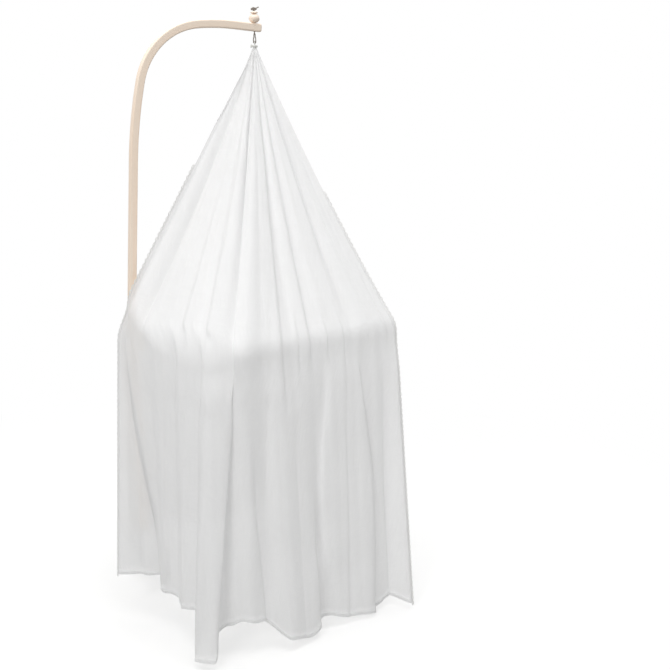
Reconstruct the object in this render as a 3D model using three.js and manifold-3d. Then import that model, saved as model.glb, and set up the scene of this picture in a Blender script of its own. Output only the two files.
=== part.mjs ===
// Bed crown canopy: a bent beech pole that rises from two seats, a cord with two turned
// beads through the tip of its arm, and two panels of white voile gathered into one neck below it.
// Millimetres, +Z up, +X along the arm, +Y to the far side. The origin is on the upper seat, where
// the upper spacer's pad lies against its seat.
import * as THREE from 'three'
import { mergeVertices } from 'three/addons/utils/BufferGeometryUtils.js'
import Module from 'manifold-3d'

const wasm = await Module()
wasm.setup()

// Clearances
const contact_gap = 0.3
const cut_overrun = 2
const bolt_clearance = 0.3

// Pole: one length of beech, straight at the foot, bent over in four sweeps to the arm
const pole_depth = 22
const pole_width = 16
const pole_edge_radius = 4
const foot_above_seat = 35
const foot_below_lower_seat = 80
const lower_sweep_radius = 1780
const lower_sweep_degrees = 3.9
const stem_run = 338
const shoulder_radius = 1285
const shoulder_degrees = 9.2
const bend_radius = 195
const bend_degrees = 70.9
const arm_sweep_radius = 665
const arm_sweep_degrees = 9.8
const tip_run = 88
const tip_round = 7
const tip_end_share = 0.94
const curve_tolerance = 0.12
const cord_bore_from_tip = 22

// Fastening: two seats, each a beech spacer with a felt pad, a bolt and a washer
const spacer_thickness = 17
const spacer_height = 52
const spacer_edge_radius = 3
const pad_thickness = 3
const upper_bolt_height = 14
const seat_pitch = 480
const bolt_diameter = 6
const bolt_grip_end = 24
const bolt_head_diameter = 14
const bolt_head_thickness = 4
const bolt_head_edge = 1
const hex_key_size = 4
const hex_key_depth = 2.4
const washer_diameter = 15
const washer_thickness = 1.5

// Beads, turned in beech
const ball_diameter = 30
const ball_height = 24
const top_bead_diameter = 21
const top_bead_height = 6.5

// Cords
const cord_diameter = 3.2
const cord_pair_gap = 0.5
const cord_bore_clearance = 0.3
const loop_hang = 31
const loop_spread = 6.4
const loop_twist_length = 14
const loop_spread_length = 6
const loop_twist_degrees = 90
const loop_plane_degrees = -35
const knot_ring_radius = 4.2
const knot_core_share = 0.75
const knot_tilt_degrees = 70
const tail_length = 10
const long_tail_degrees = -35
const long_tail_rise_share = 0.42
const short_tail_degrees = 150
const short_tail_rise_share = 0.12
const tie_eye_radius = 4.2
const tie_neck_radius = 4.6
const tie_wraps = 2
const tie_knot_radius = 2.5
const tie_end_length = 8
const tie_bow_share = 0.85

// Gathered neck of the voile
const neck_height = 11
const neck_flare_radius = 7
const neck_dome_share = 0.45

// Voile panels: where the shoulder lies, from which the cloth hangs, and how far it hangs
const cloth_thickness = 1
const rail_side = 342
const rail_height = 28
const front_reach = 621
const corner_reach = 62
const corner_radius = 75
const wrap_clearance = 12
const wrap_side_gap = 12
const wrap_beyond = 35
const wrap_tuck = 8
const wrap_rise = 107
const far_corner_reach = 84
const far_back_side = 95
const far_back_reach = 20
const hem_drop = 823
const hem_flare = 100
const hem_rise = 150
const cloth_sag = 28
const pleat_depth = 16
const pleat_width = 24
const pleat_swell_power = 0.6
const rail_spread_share = 0.16
const wrap_start_share = 0.82
const wrap_pleat_loss_share = 0.5
const corner_cut_share = 0.29
const trim_width = 6

// Along each panel, from the front edge to the back edge, as shares of its length at the shoulder:
// the places where the hem swings out or in, how far out, and how far it lifts
const near_hem_place_shares = [
  0, 0.047, 0.12, 0.2, 0.295, 0.375, 0.437, 0.515,
  0.565, 0.61, 0.655, 0.76, 0.87, 0.93, 1,
]
const near_hem_flare_shares = [
  1.03, 0.48, 0.63, 0.58, 0.48, 0.77, 0.75, 0.28,
  0.45, 1, 0.5, 0.2, -0.12, 0, 0.5,
]
const near_hem_rise_shares = [
  0.07, 0.15, 0, 0.06, 0.21, 0.05, 0.15, 0.56,
  0.64, 0.07, 0.73, 0.59, 0.9, 0.87, 0.8,
]
const far_hem_place_shares = [0, 0.07, 0.15, 0.24, 0.34, 0.43, 0.52, 0.6, 0.68, 0.74, 0.83, 0.92, 1]
const far_hem_flare_shares = [0.8, 0.3, 0.7, 0.35, 0.75, 0.3, 0.5, 0.25, 0.45, 0.15, 0.4, 0.12, 0.3]
const far_hem_rise_shares = [0.1, 0.25, 0.05, 0.2, 0.08, 0.3, 0.4, 0.5, 0.2, 0.7, 0.6, 0.75, 0.7]

// Pleats that run from the neck to the shoulder: places as shares along the panel, depths as shares
const near_pleat_place_shares = [0.146, 0.29, 0.385, 0.56, 0.68, 0.88]
const near_pleat_depth_shares = [0.9, 0.5, 0.4, 1, 0.35, 0.8]
const far_pleat_place_shares = [0.18, 0.4, 0.57, 0.8]
const far_pleat_depth_shares = [0.8, 0.6, 1, 0.6]

// Rows down a panel: shares of the slope above the shoulder, then of the drop below it
const slope_row_shares = [0, 0.06, 0.15, 0.3, 0.48, 0.66, 0.84, 1]
const drop_row_shares = [0.06, 0.14, 0.32, 0.54, 0.77, 1]
const trim_start_row = 4

// Facets of the round pieces
const round_segments = 24
const bead_segments = 28
const knot_segments = 48
const cord_sides = 10
const fine_cord_sides = 8
const corner_steps = 3

// Finishes
const beech = new THREE.MeshStandardMaterial({ color: 0xe6d2b9, roughness: 0.55, metalness: 0 })
const bead_beech = new THREE.MeshStandardMaterial({ color: 0xe2c8b4, roughness: 0.5, metalness: 0 })
const steel = new THREE.MeshStandardMaterial({ color: 0xb9bcc0, roughness: 0.35, metalness: 1 })
const felt = new THREE.MeshStandardMaterial({ color: 0xd8d3c8, roughness: 0.95, metalness: 0 })
const cord_brown = new THREE.MeshStandardMaterial({ color: 0x4f4741, roughness: 0.8, metalness: 0 })
const voile = new THREE.MeshStandardMaterial({ color: 0xf2f2f1, roughness: 0.9, metalness: 0 })
const picot = new THREE.MeshStandardMaterial({ color: 0xf6f6f5, roughness: 0.9, metalness: 0 })

// Places worked out from the sizes above
const to_radians = Math.PI / 180
const seat_stack = pad_thickness + contact_gap + spacer_thickness + contact_gap
const pole_foot_x = -(seat_stack + pole_depth / 2)
const pole_outer_x = pole_foot_x - pole_depth / 2
const foot_below_seat = seat_pitch + foot_below_lower_seat

// Geometry helpers

function outward(geometry) {
  // Turns a closed surface so that its faces point out
  const position = geometry.getAttribute('position')
  const index = Array.from(geometry.getIndex().array)
  const corner = [new THREE.Vector3(), new THREE.Vector3(), new THREE.Vector3()]
  let volume = 0
  for (let i = 0; i < index.length; i += 3) {
    corner.forEach((vertex, k) => vertex.fromBufferAttribute(position, index[i + k]))
    volume += corner[0].dot(corner[1].clone().cross(corner[2]))
  }
  if (volume < 0) {
    for (let i = 0; i < index.length; i += 3) {
      const held = index[i]
      index[i] = index[i + 1]
      index[i + 1] = held
    }
    geometry.setIndex(index)
  }
  return geometry
}

function closedGeometry(vertices, triangles) {
  const geometry = new THREE.BufferGeometry()
  const positions = vertices.flatMap((vertex) => [vertex.x, vertex.y, vertex.z])
  geometry.setAttribute('position', new THREE.Float32BufferAttribute(positions, 3))
  geometry.setIndex(triangles)
  return outward(geometry)
}

function loft(rings) {
  // Skins a row of rings of equal count and closes both ends with a fan about the ring's middle
  const count = rings[0].length
  const vertices = rings.flat()
  const triangles = []
  for (let i = 0; i + 1 < rings.length; i += 1) {
    for (let j = 0; j < count; j += 1) {
      const a = i * count + j
      const b = i * count + ((j + 1) % count)
      triangles.push(a, b, b + count, a, b + count, a + count)
    }
  }
  const ends = [0, rings.length - 1]
  ends.forEach((row, side) => {
    const middle = new THREE.Vector3()
    rings[row].forEach((vertex) => middle.addScaledVector(vertex, 1 / count))
    const hub = vertices.length
    vertices.push(middle)
    for (let j = 0; j < count; j += 1) {
      const a = row * count + j
      const b = row * count + ((j + 1) % count)
      if (side === 0) {
        triangles.push(hub, b, a)
      } else {
        triangles.push(hub, a, b)
      }
    }
  })
  return closedGeometry(vertices, triangles)
}

function tube(points, radius, sides) {
  // A round tube through a row of points, closed flat at both ends
  const rings = []
  let across = null
  points.forEach((point, i) => {
    const before = points[Math.max(i - 1, 0)]
    const after = points[Math.min(i + 1, points.length - 1)]
    const along = after.clone().sub(before).normalize()
    if (across === null) {
      const guess = Math.abs(along.z) < 0.9 ? new THREE.Vector3(0, 0, 1) : new THREE.Vector3(1, 0, 0)
      across = guess.cross(along)
    }
    across.addScaledVector(along, -across.dot(along)).normalize()
    const other = along.clone().cross(across)
    const ring = []
    for (let k = 0; k < sides; k += 1) {
      const angle = (2 * Math.PI * k) / sides
      const offset = across.clone().multiplyScalar(Math.cos(angle)).addScaledVector(other, Math.sin(angle))
      ring.push(point.clone().addScaledVector(offset, radius))
    }
    rings.push(ring)
  })
  return loft(rings)
}

function turned(profile, segments) {
  // Lathes a closed profile of [radius, height] points about the Z axis
  const outline = profile.map(([radius, height]) => new THREE.Vector2(radius, height))
  const geometry = new THREE.LatheGeometry(outline, segments)
  geometry.deleteAttribute('normal')
  geometry.deleteAttribute('uv')
  geometry.rotateX(Math.PI / 2)
  return outward(mergeVertices(geometry, 1e-4))
}

function toSolid(geometry) {
  const plain = geometry.clone()
  plain.deleteAttribute('normal')
  plain.deleteAttribute('uv')
  const merged = mergeVertices(plain, 1e-4)
  return new wasm.Manifold(new wasm.Mesh({
    numProp: 3,
    vertProperties: Float32Array.from(merged.getAttribute('position').array),
    triVerts: Uint32Array.from(merged.getIndex().array),
  }))
}

function toGeometry(solid) {
  const mesh = solid.getMesh()
  const geometry = new THREE.BufferGeometry()
  const positions = []
  for (let i = 0; i < mesh.vertProperties.length; i += mesh.numProp) {
    positions.push(mesh.vertProperties[i], mesh.vertProperties[i + 1], mesh.vertProperties[i + 2])
  }
  geometry.setAttribute('position', new THREE.Float32BufferAttribute(positions, 3))
  geometry.setIndex(Array.from(mesh.triVerts))
  return geometry
}

function join(geometries) {
  return toGeometry(geometries.map(toSolid).reduce((whole, solid) => whole.add(solid)))
}

function drill(geometry, cutters) {
  return toGeometry(cutters.map(toSolid).reduce((whole, cutter) => whole.subtract(cutter), toSolid(geometry)))
}

function rod(radius, from, to, segments) {
  // A plain round rod between two points
  const span = to.clone().sub(from)
  const geometry = new THREE.CylinderGeometry(radius, radius, span.length(), segments)
  const turn = new THREE.Quaternion().setFromUnitVectors(new THREE.Vector3(0, 1, 0), span.clone().normalize())
  geometry.applyQuaternion(turn)
  geometry.translate((from.x + to.x) / 2, (from.y + to.y) / 2, (from.z + to.z) / 2)
  return geometry
}

function roundedRectangle(depth, width, radius, steps) {
  // Corner points of a rectangle with round corners, as [along depth, along width]
  const points = []
  for (let corner = 0; corner < 4; corner += 1) {
    const middle = ((corner + 1 / 2) * Math.PI) / 2
    const centre = [
      Math.sign(Math.cos(middle)) * (depth / 2 - radius),
      Math.sign(Math.sin(middle)) * (width / 2 - radius),
    ]
    for (let i = 0; i <= steps; i += 1) {
      const angle = ((corner + i / steps) * Math.PI) / 2
      points.push([centre[0] + radius * Math.cos(angle), centre[1] + radius * Math.sin(angle)])
    }
  }
  return points
}

function smooth(low, high, value) {
  const share = Math.min(Math.max((value - low) / (high - low), 0), 1)
  return share * share * (3 - 2 * share)
}

// Pole

function poleStations() {
  // The pole's centreline as stations with a place and a lean from upright
  const stations = []
  let x = pole_foot_x
  let z = -foot_below_seat
  let lean = 0
  const note = () => stations.push({ x, z, lean })
  const straight = (length) => {
    x += length * Math.sin(lean)
    z += length * Math.cos(lean)
    note()
  }
  const sweep = (radius, degrees) => {
    const arc = radius * degrees * to_radians
    const steps = Math.ceil(arc / Math.sqrt(8 * radius * curve_tolerance))
    const turn = (degrees * to_radians) / steps
    for (let i = 0; i < steps; i += 1) {
      x += radius * turn * Math.sin(lean + turn / 2)
      z += radius * turn * Math.cos(lean + turn / 2)
      lean += turn
      note()
    }
  }
  note()
  straight(foot_below_seat + foot_above_seat)
  sweep(lower_sweep_radius, lower_sweep_degrees)
  straight(stem_run)
  sweep(shoulder_radius, shoulder_degrees)
  sweep(bend_radius, bend_degrees)
  sweep(arm_sweep_radius, arm_sweep_degrees)
  straight(tip_run - tip_round)
  return stations
}

const stations = poleStations()
const tip_station = stations[stations.length - 1]

function stationPoint(station, inward, side) {
  // inward runs from the outside of the bend to its inside
  return new THREE.Vector3(
    station.x + inward * Math.cos(station.lean),
    side,
    station.z - inward * Math.sin(station.lean),
  )
}

// The cord's bore: its axis is upright through the arm, near the tip
const bore_back = cord_bore_from_tip - tip_round
const cord_x = tip_station.x - bore_back * Math.sin(tip_station.lean)
const arm_centre_z = tip_station.z - bore_back * Math.cos(tip_station.lean)
const half_arm = pole_depth / 2 / Math.sin(tip_station.lean)
const arm_top_z = arm_centre_z + half_arm
const arm_under_z = arm_centre_z - half_arm
const pair_offset = (cord_diameter + cord_pair_gap) / 2
const bore_radius = pair_offset + cord_diameter / 2 + cord_bore_clearance
const bolt_heights = { upper: upper_bolt_height, lower: upper_bolt_height - seat_pitch }

function makePole() {
  const section = roundedRectangle(pole_depth, pole_width, pole_edge_radius, corner_steps)
  const rings = stations.map((station) => (
    section.map(([inward, side]) => stationPoint(station, inward, side))
  ))
  const tip_steps = 4
  for (let i = 1; i <= tip_steps; i += 1) {
    const angle = (i / tip_steps) * (Math.PI / 2) * tip_end_share
    const shrink = (1 - tip_round / (pole_width / 2)) + (tip_round / (pole_width / 2)) * Math.cos(angle)
    const advance = tip_round * Math.sin(angle)
    const station = {
      x: tip_station.x + advance * Math.sin(tip_station.lean),
      z: tip_station.z + advance * Math.cos(tip_station.lean),
      lean: tip_station.lean,
    }
    const trim = (pole_width / 2) * (1 - shrink)
    const inward_shrink = (pole_depth / 2 - trim) / (pole_depth / 2)
    rings.push(section.map(([inward, side]) => stationPoint(station, inward * inward_shrink, side * shrink)))
  }
  const reach = pole_depth / 2 + cut_overrun
  const bores = [rod(
    bore_radius,
    new THREE.Vector3(cord_x, 0, arm_centre_z - reach),
    new THREE.Vector3(cord_x, 0, arm_centre_z + reach),
    round_segments,
  )]
  Object.values(bolt_heights).forEach((height) => {
    bores.push(rod(
      bolt_diameter / 2 + bolt_clearance,
      new THREE.Vector3(pole_foot_x - reach, 0, height),
      new THREE.Vector3(pole_foot_x + reach, 0, height),
      round_segments,
    ))
  })
  return drill(loft(rings), bores)
}

// Fastening

function seatBlock(inner_x, thickness, height) {
  // A block with round corners and a bolt hole, its seat face at inner_x
  const outline = roundedRectangle(spacer_height, pole_width, spacer_edge_radius, corner_steps)
  const middle = height - upper_bolt_height
  const ring = (x) => outline.map(([up, side]) => new THREE.Vector3(x, side, middle + up))
  const block = loft([ring(inner_x - thickness), ring(inner_x)])
  const hole = rod(
    bolt_diameter / 2 + bolt_clearance,
    new THREE.Vector3(inner_x - thickness - cut_overrun, 0, height),
    new THREE.Vector3(inner_x + cut_overrun, 0, height),
    round_segments,
  )
  return drill(block, [hole])
}

function makeBolt(height) {
  // A connector bolt: a flat round head with a hexagonal key socket, and its shank
  const washer_face = pole_outer_x - contact_gap - washer_thickness - contact_gap
  const head_out = washer_face - bolt_head_thickness
  const head = bolt_head_diameter / 2
  const shank = bolt_diameter / 2
  const profile = [
    [0, 0],
    [head - bolt_head_edge, 0],
    [head, bolt_head_edge],
    [head, bolt_head_thickness],
    [shank, bolt_head_thickness],
    [shank, bolt_grip_end - bolt_head_edge - head_out],
    [shank - bolt_head_edge, bolt_grip_end - head_out],
    [0, bolt_grip_end - head_out],
  ]
  const body = turned(profile, round_segments)
  const corner_radius_of_key = hex_key_size / Math.sqrt(3)
  const key = new THREE.CylinderGeometry(corner_radius_of_key, corner_radius_of_key, hex_key_depth * 2, 6)
  key.rotateX(Math.PI / 2)
  const bolt = drill(body, [key])
  bolt.rotateY(Math.PI / 2)
  bolt.translate(head_out, 0, height)
  return bolt
}

function makeWasher(height) {
  const outer = washer_diameter / 2
  const inner = bolt_diameter / 2 + bolt_clearance
  const thick = washer_thickness
  const washer = turned([[inner, 0], [outer, 0], [outer, thick], [inner, thick], [inner, 0]], round_segments)
  washer.rotateY(Math.PI / 2)
  washer.translate(pole_outer_x - contact_gap - washer_thickness, 0, height)
  return washer
}

// Beads

function makeBead(diameter, height, bottom_z) {
  // A turned bead: an oval profile cut off by its bore
  const steps = 10
  const bore_share = bore_radius / (diameter / 2)
  const start = Math.asin(bore_share)
  const profile = []
  for (let i = 0; i <= steps; i += 1) {
    const angle = start + ((Math.PI - 2 * start) * i) / steps
    profile.push([(diameter / 2) * Math.sin(angle), (-height / 2) * (Math.cos(angle) / Math.cos(start))])
  }
  profile.push([bore_radius, -height / 2])
  const bead = turned(profile, bead_segments)
  bead.translate(cord_x, 0, bottom_z + height / 2)
  return bead
}

const arm_slope_rise = bore_radius * Math.abs(Math.cos(tip_station.lean))
const ball_bottom = arm_top_z + arm_slope_rise + contact_gap
const top_bead_bottom = ball_bottom + ball_height + contact_gap
const knot_bottom = top_bead_bottom + top_bead_height + contact_gap

// Cords

function inLoopPlane(across, height, turn_degrees) {
  // A point across the cord's axis, in an upright plane turned about that axis
  const turn = turn_degrees * to_radians
  return new THREE.Vector3(cord_x + across * Math.cos(turn), across * Math.sin(turn), height)
}

const loop_bottom = arm_under_z - loop_hang

function makeHangerCord() {
  // Two strands run down from the knot through the beads and the arm, twist, part and meet in a loop
  const knot_z = knot_bottom + cord_diameter / 2 + knot_ring_radius / 2
  const strand = (side) => {
    const points = []
    const bore_turn = loop_plane_degrees - loop_twist_degrees
    points.push(inLoopPlane(side * pair_offset, knot_z, bore_turn))
    points.push(inLoopPlane(side * pair_offset, arm_top_z, bore_turn))
    const twist_steps = 8
    for (let i = 0; i <= twist_steps; i += 1) {
      const share = i / twist_steps
      const height = arm_under_z - loop_twist_length * share
      const turn_degrees = bore_turn + loop_twist_degrees * smooth(0, 1, share)
      points.push(inLoopPlane(side * pair_offset, height, turn_degrees))
    }
    const spread_top = arm_under_z - loop_twist_length
    for (let i = 1; i <= 3; i += 1) {
      const spread = pair_offset + (loop_spread / 2 - pair_offset) * smooth(0, 3, i)
      points.push(inLoopPlane(side * spread, spread_top - (loop_spread_length * i) / 3, loop_plane_degrees))
    }
    return points
  }
  const bend = []
  const bend_steps = 8
  const bend_centre = loop_bottom + loop_spread / 2
  for (let i = 0; i <= bend_steps; i += 1) {
    const angle = (Math.PI * i) / bend_steps
    bend.push(inLoopPlane(
      (-loop_spread / 2) * Math.cos(angle),
      bend_centre - (loop_spread / 2) * Math.sin(angle),
      loop_plane_degrees,
    ))
  }
  const path = [...strand(-1), ...bend, ...strand(1).reverse()]
  const pair = tube(path, cord_diameter / 2, cord_sides)
  const knot = new THREE.TorusKnotGeometry(
    knot_ring_radius * knot_core_share,
    cord_diameter / 2,
    knot_segments,
    fine_cord_sides,
    2,
    3,
  )
  knot.rotateX(knot_tilt_degrees * to_radians)
  knot.translate(cord_x, 0, knot_z + knot_ring_radius / 2)
  const tail = (turn_degrees, rise_share) => {
    const turn = turn_degrees * to_radians
    const out = new THREE.Vector3(Math.cos(turn), Math.sin(turn), rise_share).normalize()
    const start = new THREE.Vector3(cord_x, 0, knot_z + knot_ring_radius / 2)
    const reach = knot_ring_radius + tail_length
    const points = [1, 2, 3, 4].map((step) => start.clone().addScaledVector(out, (reach * step) / 4))
    return tube(points, cord_diameter / 2, fine_cord_sides)
  }
  const long_tail = tail(long_tail_degrees, long_tail_rise_share)
  const short_tail = tail(short_tail_degrees, short_tail_rise_share)
  return join([pair, knot, long_tail, short_tail])
}

// The tie: an eye through the hanging loop, wraps round the neck, a knot and a short end
const tie_radius = cord_diameter / 2
const eye_top = loop_bottom + tie_radius + contact_gap + cord_diameter
const eye_centre = eye_top - tie_eye_radius
const eye_bottom = eye_centre - tie_eye_radius
const wrap_radius = tie_neck_radius + contact_gap + tie_radius
const first_wrap_z = eye_bottom - tie_radius
const wrap_pitch = cord_diameter - cord_pair_gap
const neck_top = eye_bottom - tie_radius - contact_gap

function makeNeckTie() {
  const ring = (radius) => new THREE.TorusGeometry(radius, tie_radius, fine_cord_sides, bead_segments)
  const eye = ring(tie_eye_radius)
  eye.rotateX(Math.PI / 2)
  eye.rotateZ((loop_plane_degrees + 90) * to_radians)
  eye.translate(cord_x, 0, eye_centre)
  const wraps = []
  for (let i = 0; i < tie_wraps; i += 1) {
    const wrap = ring(wrap_radius)
    wrap.translate(cord_x, 0, first_wrap_z - wrap_pitch * (i + 1))
    wraps.push(wrap)
  }
  const turn = loop_plane_degrees + 90
  const bridge = (side) => tube(
    [
      inLoopPlane(side * tie_eye_radius * Math.SQRT1_2, eye_centre - tie_eye_radius * Math.SQRT1_2, turn),
      inLoopPlane(side * wrap_radius * tie_bow_share, eye_bottom, turn),
      inLoopPlane(side * wrap_radius, first_wrap_z - wrap_pitch, turn),
    ],
    tie_radius,
    fine_cord_sides,
  )
  const knot_place = inLoopPlane(-wrap_radius - tie_radius, first_wrap_z - wrap_pitch, loop_plane_degrees)
  const knot = new THREE.SphereGeometry(tie_knot_radius, round_segments / 2, fine_cord_sides)
  knot.translate(knot_place.x, knot_place.y, knot_place.z)
  const end_tip = inLoopPlane(-wrap_radius - tie_end_length, first_wrap_z, loop_plane_degrees)
  const end = tube([knot_place, knot_place.clone().lerp(end_tip, 0.5), end_tip], tie_radius, fine_cord_sides)
  return join([eye, ...wraps, bridge(1), bridge(-1), knot, end])
}

// Voile

const neck_bottom = neck_top - neck_height

function makeNeck() {
  // The gathered, stitched head of the cloth: a dome above a waist that flares at its foot
  const dome = neck_height * neck_dome_share
  const profile = [[0, neck_bottom], [neck_flare_radius, neck_bottom]]
  profile.push([neck_flare_radius, neck_bottom + contact_gap])
  profile.push([tie_neck_radius, neck_bottom + (neck_height - dome) / 2])
  const steps = 5
  for (let i = 0; i <= steps; i += 1) {
    const angle = ((Math.PI / 2) * i) / steps
    profile.push([tie_neck_radius * Math.cos(angle), neck_top - dome + dome * Math.sin(angle)])
  }
  profile[profile.length - 1][0] = 0
  const neck = turned(profile, round_segments)
  neck.translate(cord_x, 0, 0)
  return neck
}

const neck_centre = new THREE.Vector3(cord_x, 0, neck_bottom - contact_gap)
const hook_side = pole_width / 2 + wrap_side_gap
const wrap_x = pole_outer_x - wrap_clearance

const nearLine = [
  [front_reach, rail_side],
  [(front_reach + corner_reach) / 2, rail_side],
  [corner_reach + corner_radius, rail_side],
  [corner_reach + corner_radius * corner_cut_share, rail_side - corner_radius * corner_cut_share],
  [corner_reach - corner_radius * corner_cut_share, rail_side - corner_radius],
  [(corner_reach + wrap_x) / 2, (rail_side - corner_radius / 2 + hook_side) / 2],
  [wrap_x, hook_side],
  [wrap_x, -wrap_beyond],
]
const farLine = [
  [front_reach, rail_side],
  [(front_reach + far_corner_reach) / 2, rail_side],
  [far_corner_reach + corner_radius, rail_side],
  [far_corner_reach + corner_radius * corner_cut_share, rail_side - corner_radius * corner_cut_share],
  [far_corner_reach - corner_radius * corner_cut_share, rail_side - corner_radius],
  [far_back_reach, far_back_side],
]

function fromTable(places, shares, place) {
  // Eases between the two entries on either side of a place
  let i = 0
  while (i + 2 < places.length && places[i + 1] < place) {
    i += 1
  }
  const ease = smooth(places[i], places[i + 1], place)
  return shares[i] + (shares[i + 1] - shares[i]) * ease
}

function makePanel(panel) {
  // Returns the panel's surface as a function of the place along it and the row down it. The panel
  // is worked out on the near side's mirror image, with its side measured out from the middle.
  const line = new THREE.CatmullRomCurve3(
    panel.line.map(([x, side]) => new THREE.Vector3(x, side, 0)),
    false,
    'centripetal',
  )
  const length = line.getLength()
  const centre = new THREE.Vector3(cord_x, 0, 0)
  return (place, row) => {
    const hang = line.getPointAt(place)
    const along = line.getTangentAt(place)
    const out = new THREE.Vector3(-along.y, along.x, 0)
    if (out.dot(hang.clone().sub(centre)) < 0) {
      out.negate()
    }
    const wrap = panel.wraps ? smooth(wrap_start_share, 1, place) : 0
    const rail = hang.clone()
    if (panel.wraps) {
      rail.y = Math.max(rail.y, hook_side)
      rail.x += wrap_tuck * wrap
    }
    rail.z = rail_height + wrap_rise * wrap
    const flare = hem_flare * fromTable(panel.hem_places, panel.flares, place)
    if (row <= 1) {
      const bearing = rail.clone().sub(centre)
      bearing.z = 0
      const start = neck_centre.clone().addScaledVector(bearing.normalize(), neck_flare_radius)
      const point = start.clone().lerp(rail, row)
      point.z -= cloth_sag * 4 * row * (1 - row) * (1 - wrap)
      const swell = (4 * row * (1 - row)) ** pleat_swell_power
      let pleat = 0
      panel.pleat_places.forEach((middle, k) => {
        const away = ((place - middle) * length) / pleat_width
        pleat += pleat_depth * panel.pleat_depths[k] * Math.exp(-away * away)
      })
      return point.addScaledVector(out, -pleat * swell * (1 - wrap_pleat_loss_share * wrap))
    }
    const drop = row - 1
    const hem = hang.clone().addScaledVector(out, flare)
    const spread = smooth(0, rail_spread_share, drop)
    const plumb = hang.clone().lerp(hem, drop)
    const point = rail.clone().lerp(plumb, spread)
    const hem_z = -hem_drop + hem_rise * fromTable(panel.hem_places, panel.rises, place)
    point.z = rail.z + (hem_z - rail.z) * drop
    return point
  }
}

function panelGrid(panel) {
  const surface = makePanel(panel)
  const marks = Array.from(new Set([...panel.hem_places, ...panel.pleat_places])).sort((a, b) => a - b)
  const places = []
  marks.forEach((mark, i) => {
    places.push(mark)
    if (i + 1 < marks.length) {
      places.push((mark + marks[i + 1]) / 2)
    }
  })
  const rows = [...slope_row_shares, ...drop_row_shares.map((share) => 1 + share)]
  return places.map((place) => rows.map((row) => {
    const point = surface(place, row)
    return new THREE.Vector3(point.x, panel.side * point.y, point.z)
  }))
}

function gridNormals(grid) {
  return grid.map((column, i) => column.map((_, j) => {
    const before = grid[Math.max(i - 1, 0)][j]
    const after = grid[Math.min(i + 1, grid.length - 1)][j]
    const above = column[Math.max(j - 1, 0)]
    const below = column[Math.min(j + 1, column.length - 1)]
    return after.clone().sub(before).cross(below.clone().sub(above)).normalize()
  }))
}

function shell(grid) {
  // A closed sheet of the cloth's thickness about a grid of points
  const normals = gridNormals(grid)
  const columns = grid.length
  const rows = grid[0].length
  const vertices = []
  const sides = [1, -1]
  sides.forEach((side) => {
    grid.forEach((column, i) => column.forEach((point, j) => {
      vertices.push(point.clone().addScaledVector(normals[i][j], (side * cloth_thickness) / 2))
    }))
  })
  const at = (side, i, j) => side * columns * rows + i * rows + j
  const triangles = []
  const quad = (a, b, c, d) => triangles.push(a, b, c, a, c, d)
  for (let i = 0; i + 1 < columns; i += 1) {
    for (let j = 0; j + 1 < rows; j += 1) {
      quad(at(0, i, j), at(0, i + 1, j), at(0, i + 1, j + 1), at(0, i, j + 1))
      quad(at(1, i, j), at(1, i, j + 1), at(1, i + 1, j + 1), at(1, i + 1, j))
    }
    quad(at(0, i, 0), at(1, i, 0), at(1, i + 1, 0), at(0, i + 1, 0))
    quad(at(0, i, rows - 1), at(0, i + 1, rows - 1), at(1, i + 1, rows - 1), at(1, i, rows - 1))
  }
  for (let j = 0; j + 1 < rows; j += 1) {
    quad(at(0, 0, j), at(0, 0, j + 1), at(1, 0, j + 1), at(1, 0, j))
    quad(at(0, columns - 1, j), at(1, columns - 1, j), at(1, columns - 1, j + 1), at(0, columns - 1, j + 1))
  }
  return closedGeometry(vertices, triangles)
}

function trimRibbon(grid, edge) {
  // The picot edging: a narrow ribbon along one upright edge of the cloth, from the trim's first row
  const normals = gridNormals(grid)
  const column = edge === 'front' ? 0 : grid.length - 1
  const neighbour = edge === 'front' ? 1 : grid.length - 2
  const rings = []
  for (let j = trim_start_row; j < grid[0].length; j += 1) {
    const point = grid[column][j]
    const out = point.clone().sub(grid[neighbour][j]).normalize()
    const normal = normals[column][j]
    out.addScaledVector(normal, -out.dot(normal)).normalize()
    const corner = (across, up) => point.clone().addScaledVector(out, across).addScaledVector(normal, up)
    const half = cloth_thickness / 2
    const inner = contact_gap
    const outer = contact_gap + trim_width
    rings.push([corner(inner, -half), corner(outer, -half), corner(outer, half), corner(inner, half)])
  }
  return loft(rings)
}

const near_panel = {
  side: -1,
  line: nearLine,
  wraps: true,
  hem_places: near_hem_place_shares,
  flares: near_hem_flare_shares,
  rises: near_hem_rise_shares,
  pleat_places: near_pleat_place_shares,
  pleat_depths: near_pleat_depth_shares,
}
const far_panel = {
  side: 1,
  line: farLine,
  wraps: false,
  hem_places: far_hem_place_shares,
  flares: far_hem_flare_shares,
  rises: far_hem_rise_shares,
  pleat_places: far_pleat_place_shares,
  pleat_depths: far_pleat_depth_shares,
}

// Assembly

const canopy = new THREE.Group()

function add(name, geometry, material) {
  geometry.computeVertexNormals()
  const mesh = new THREE.Mesh(geometry, material)
  mesh.name = name
  canopy.add(mesh)
}

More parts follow.
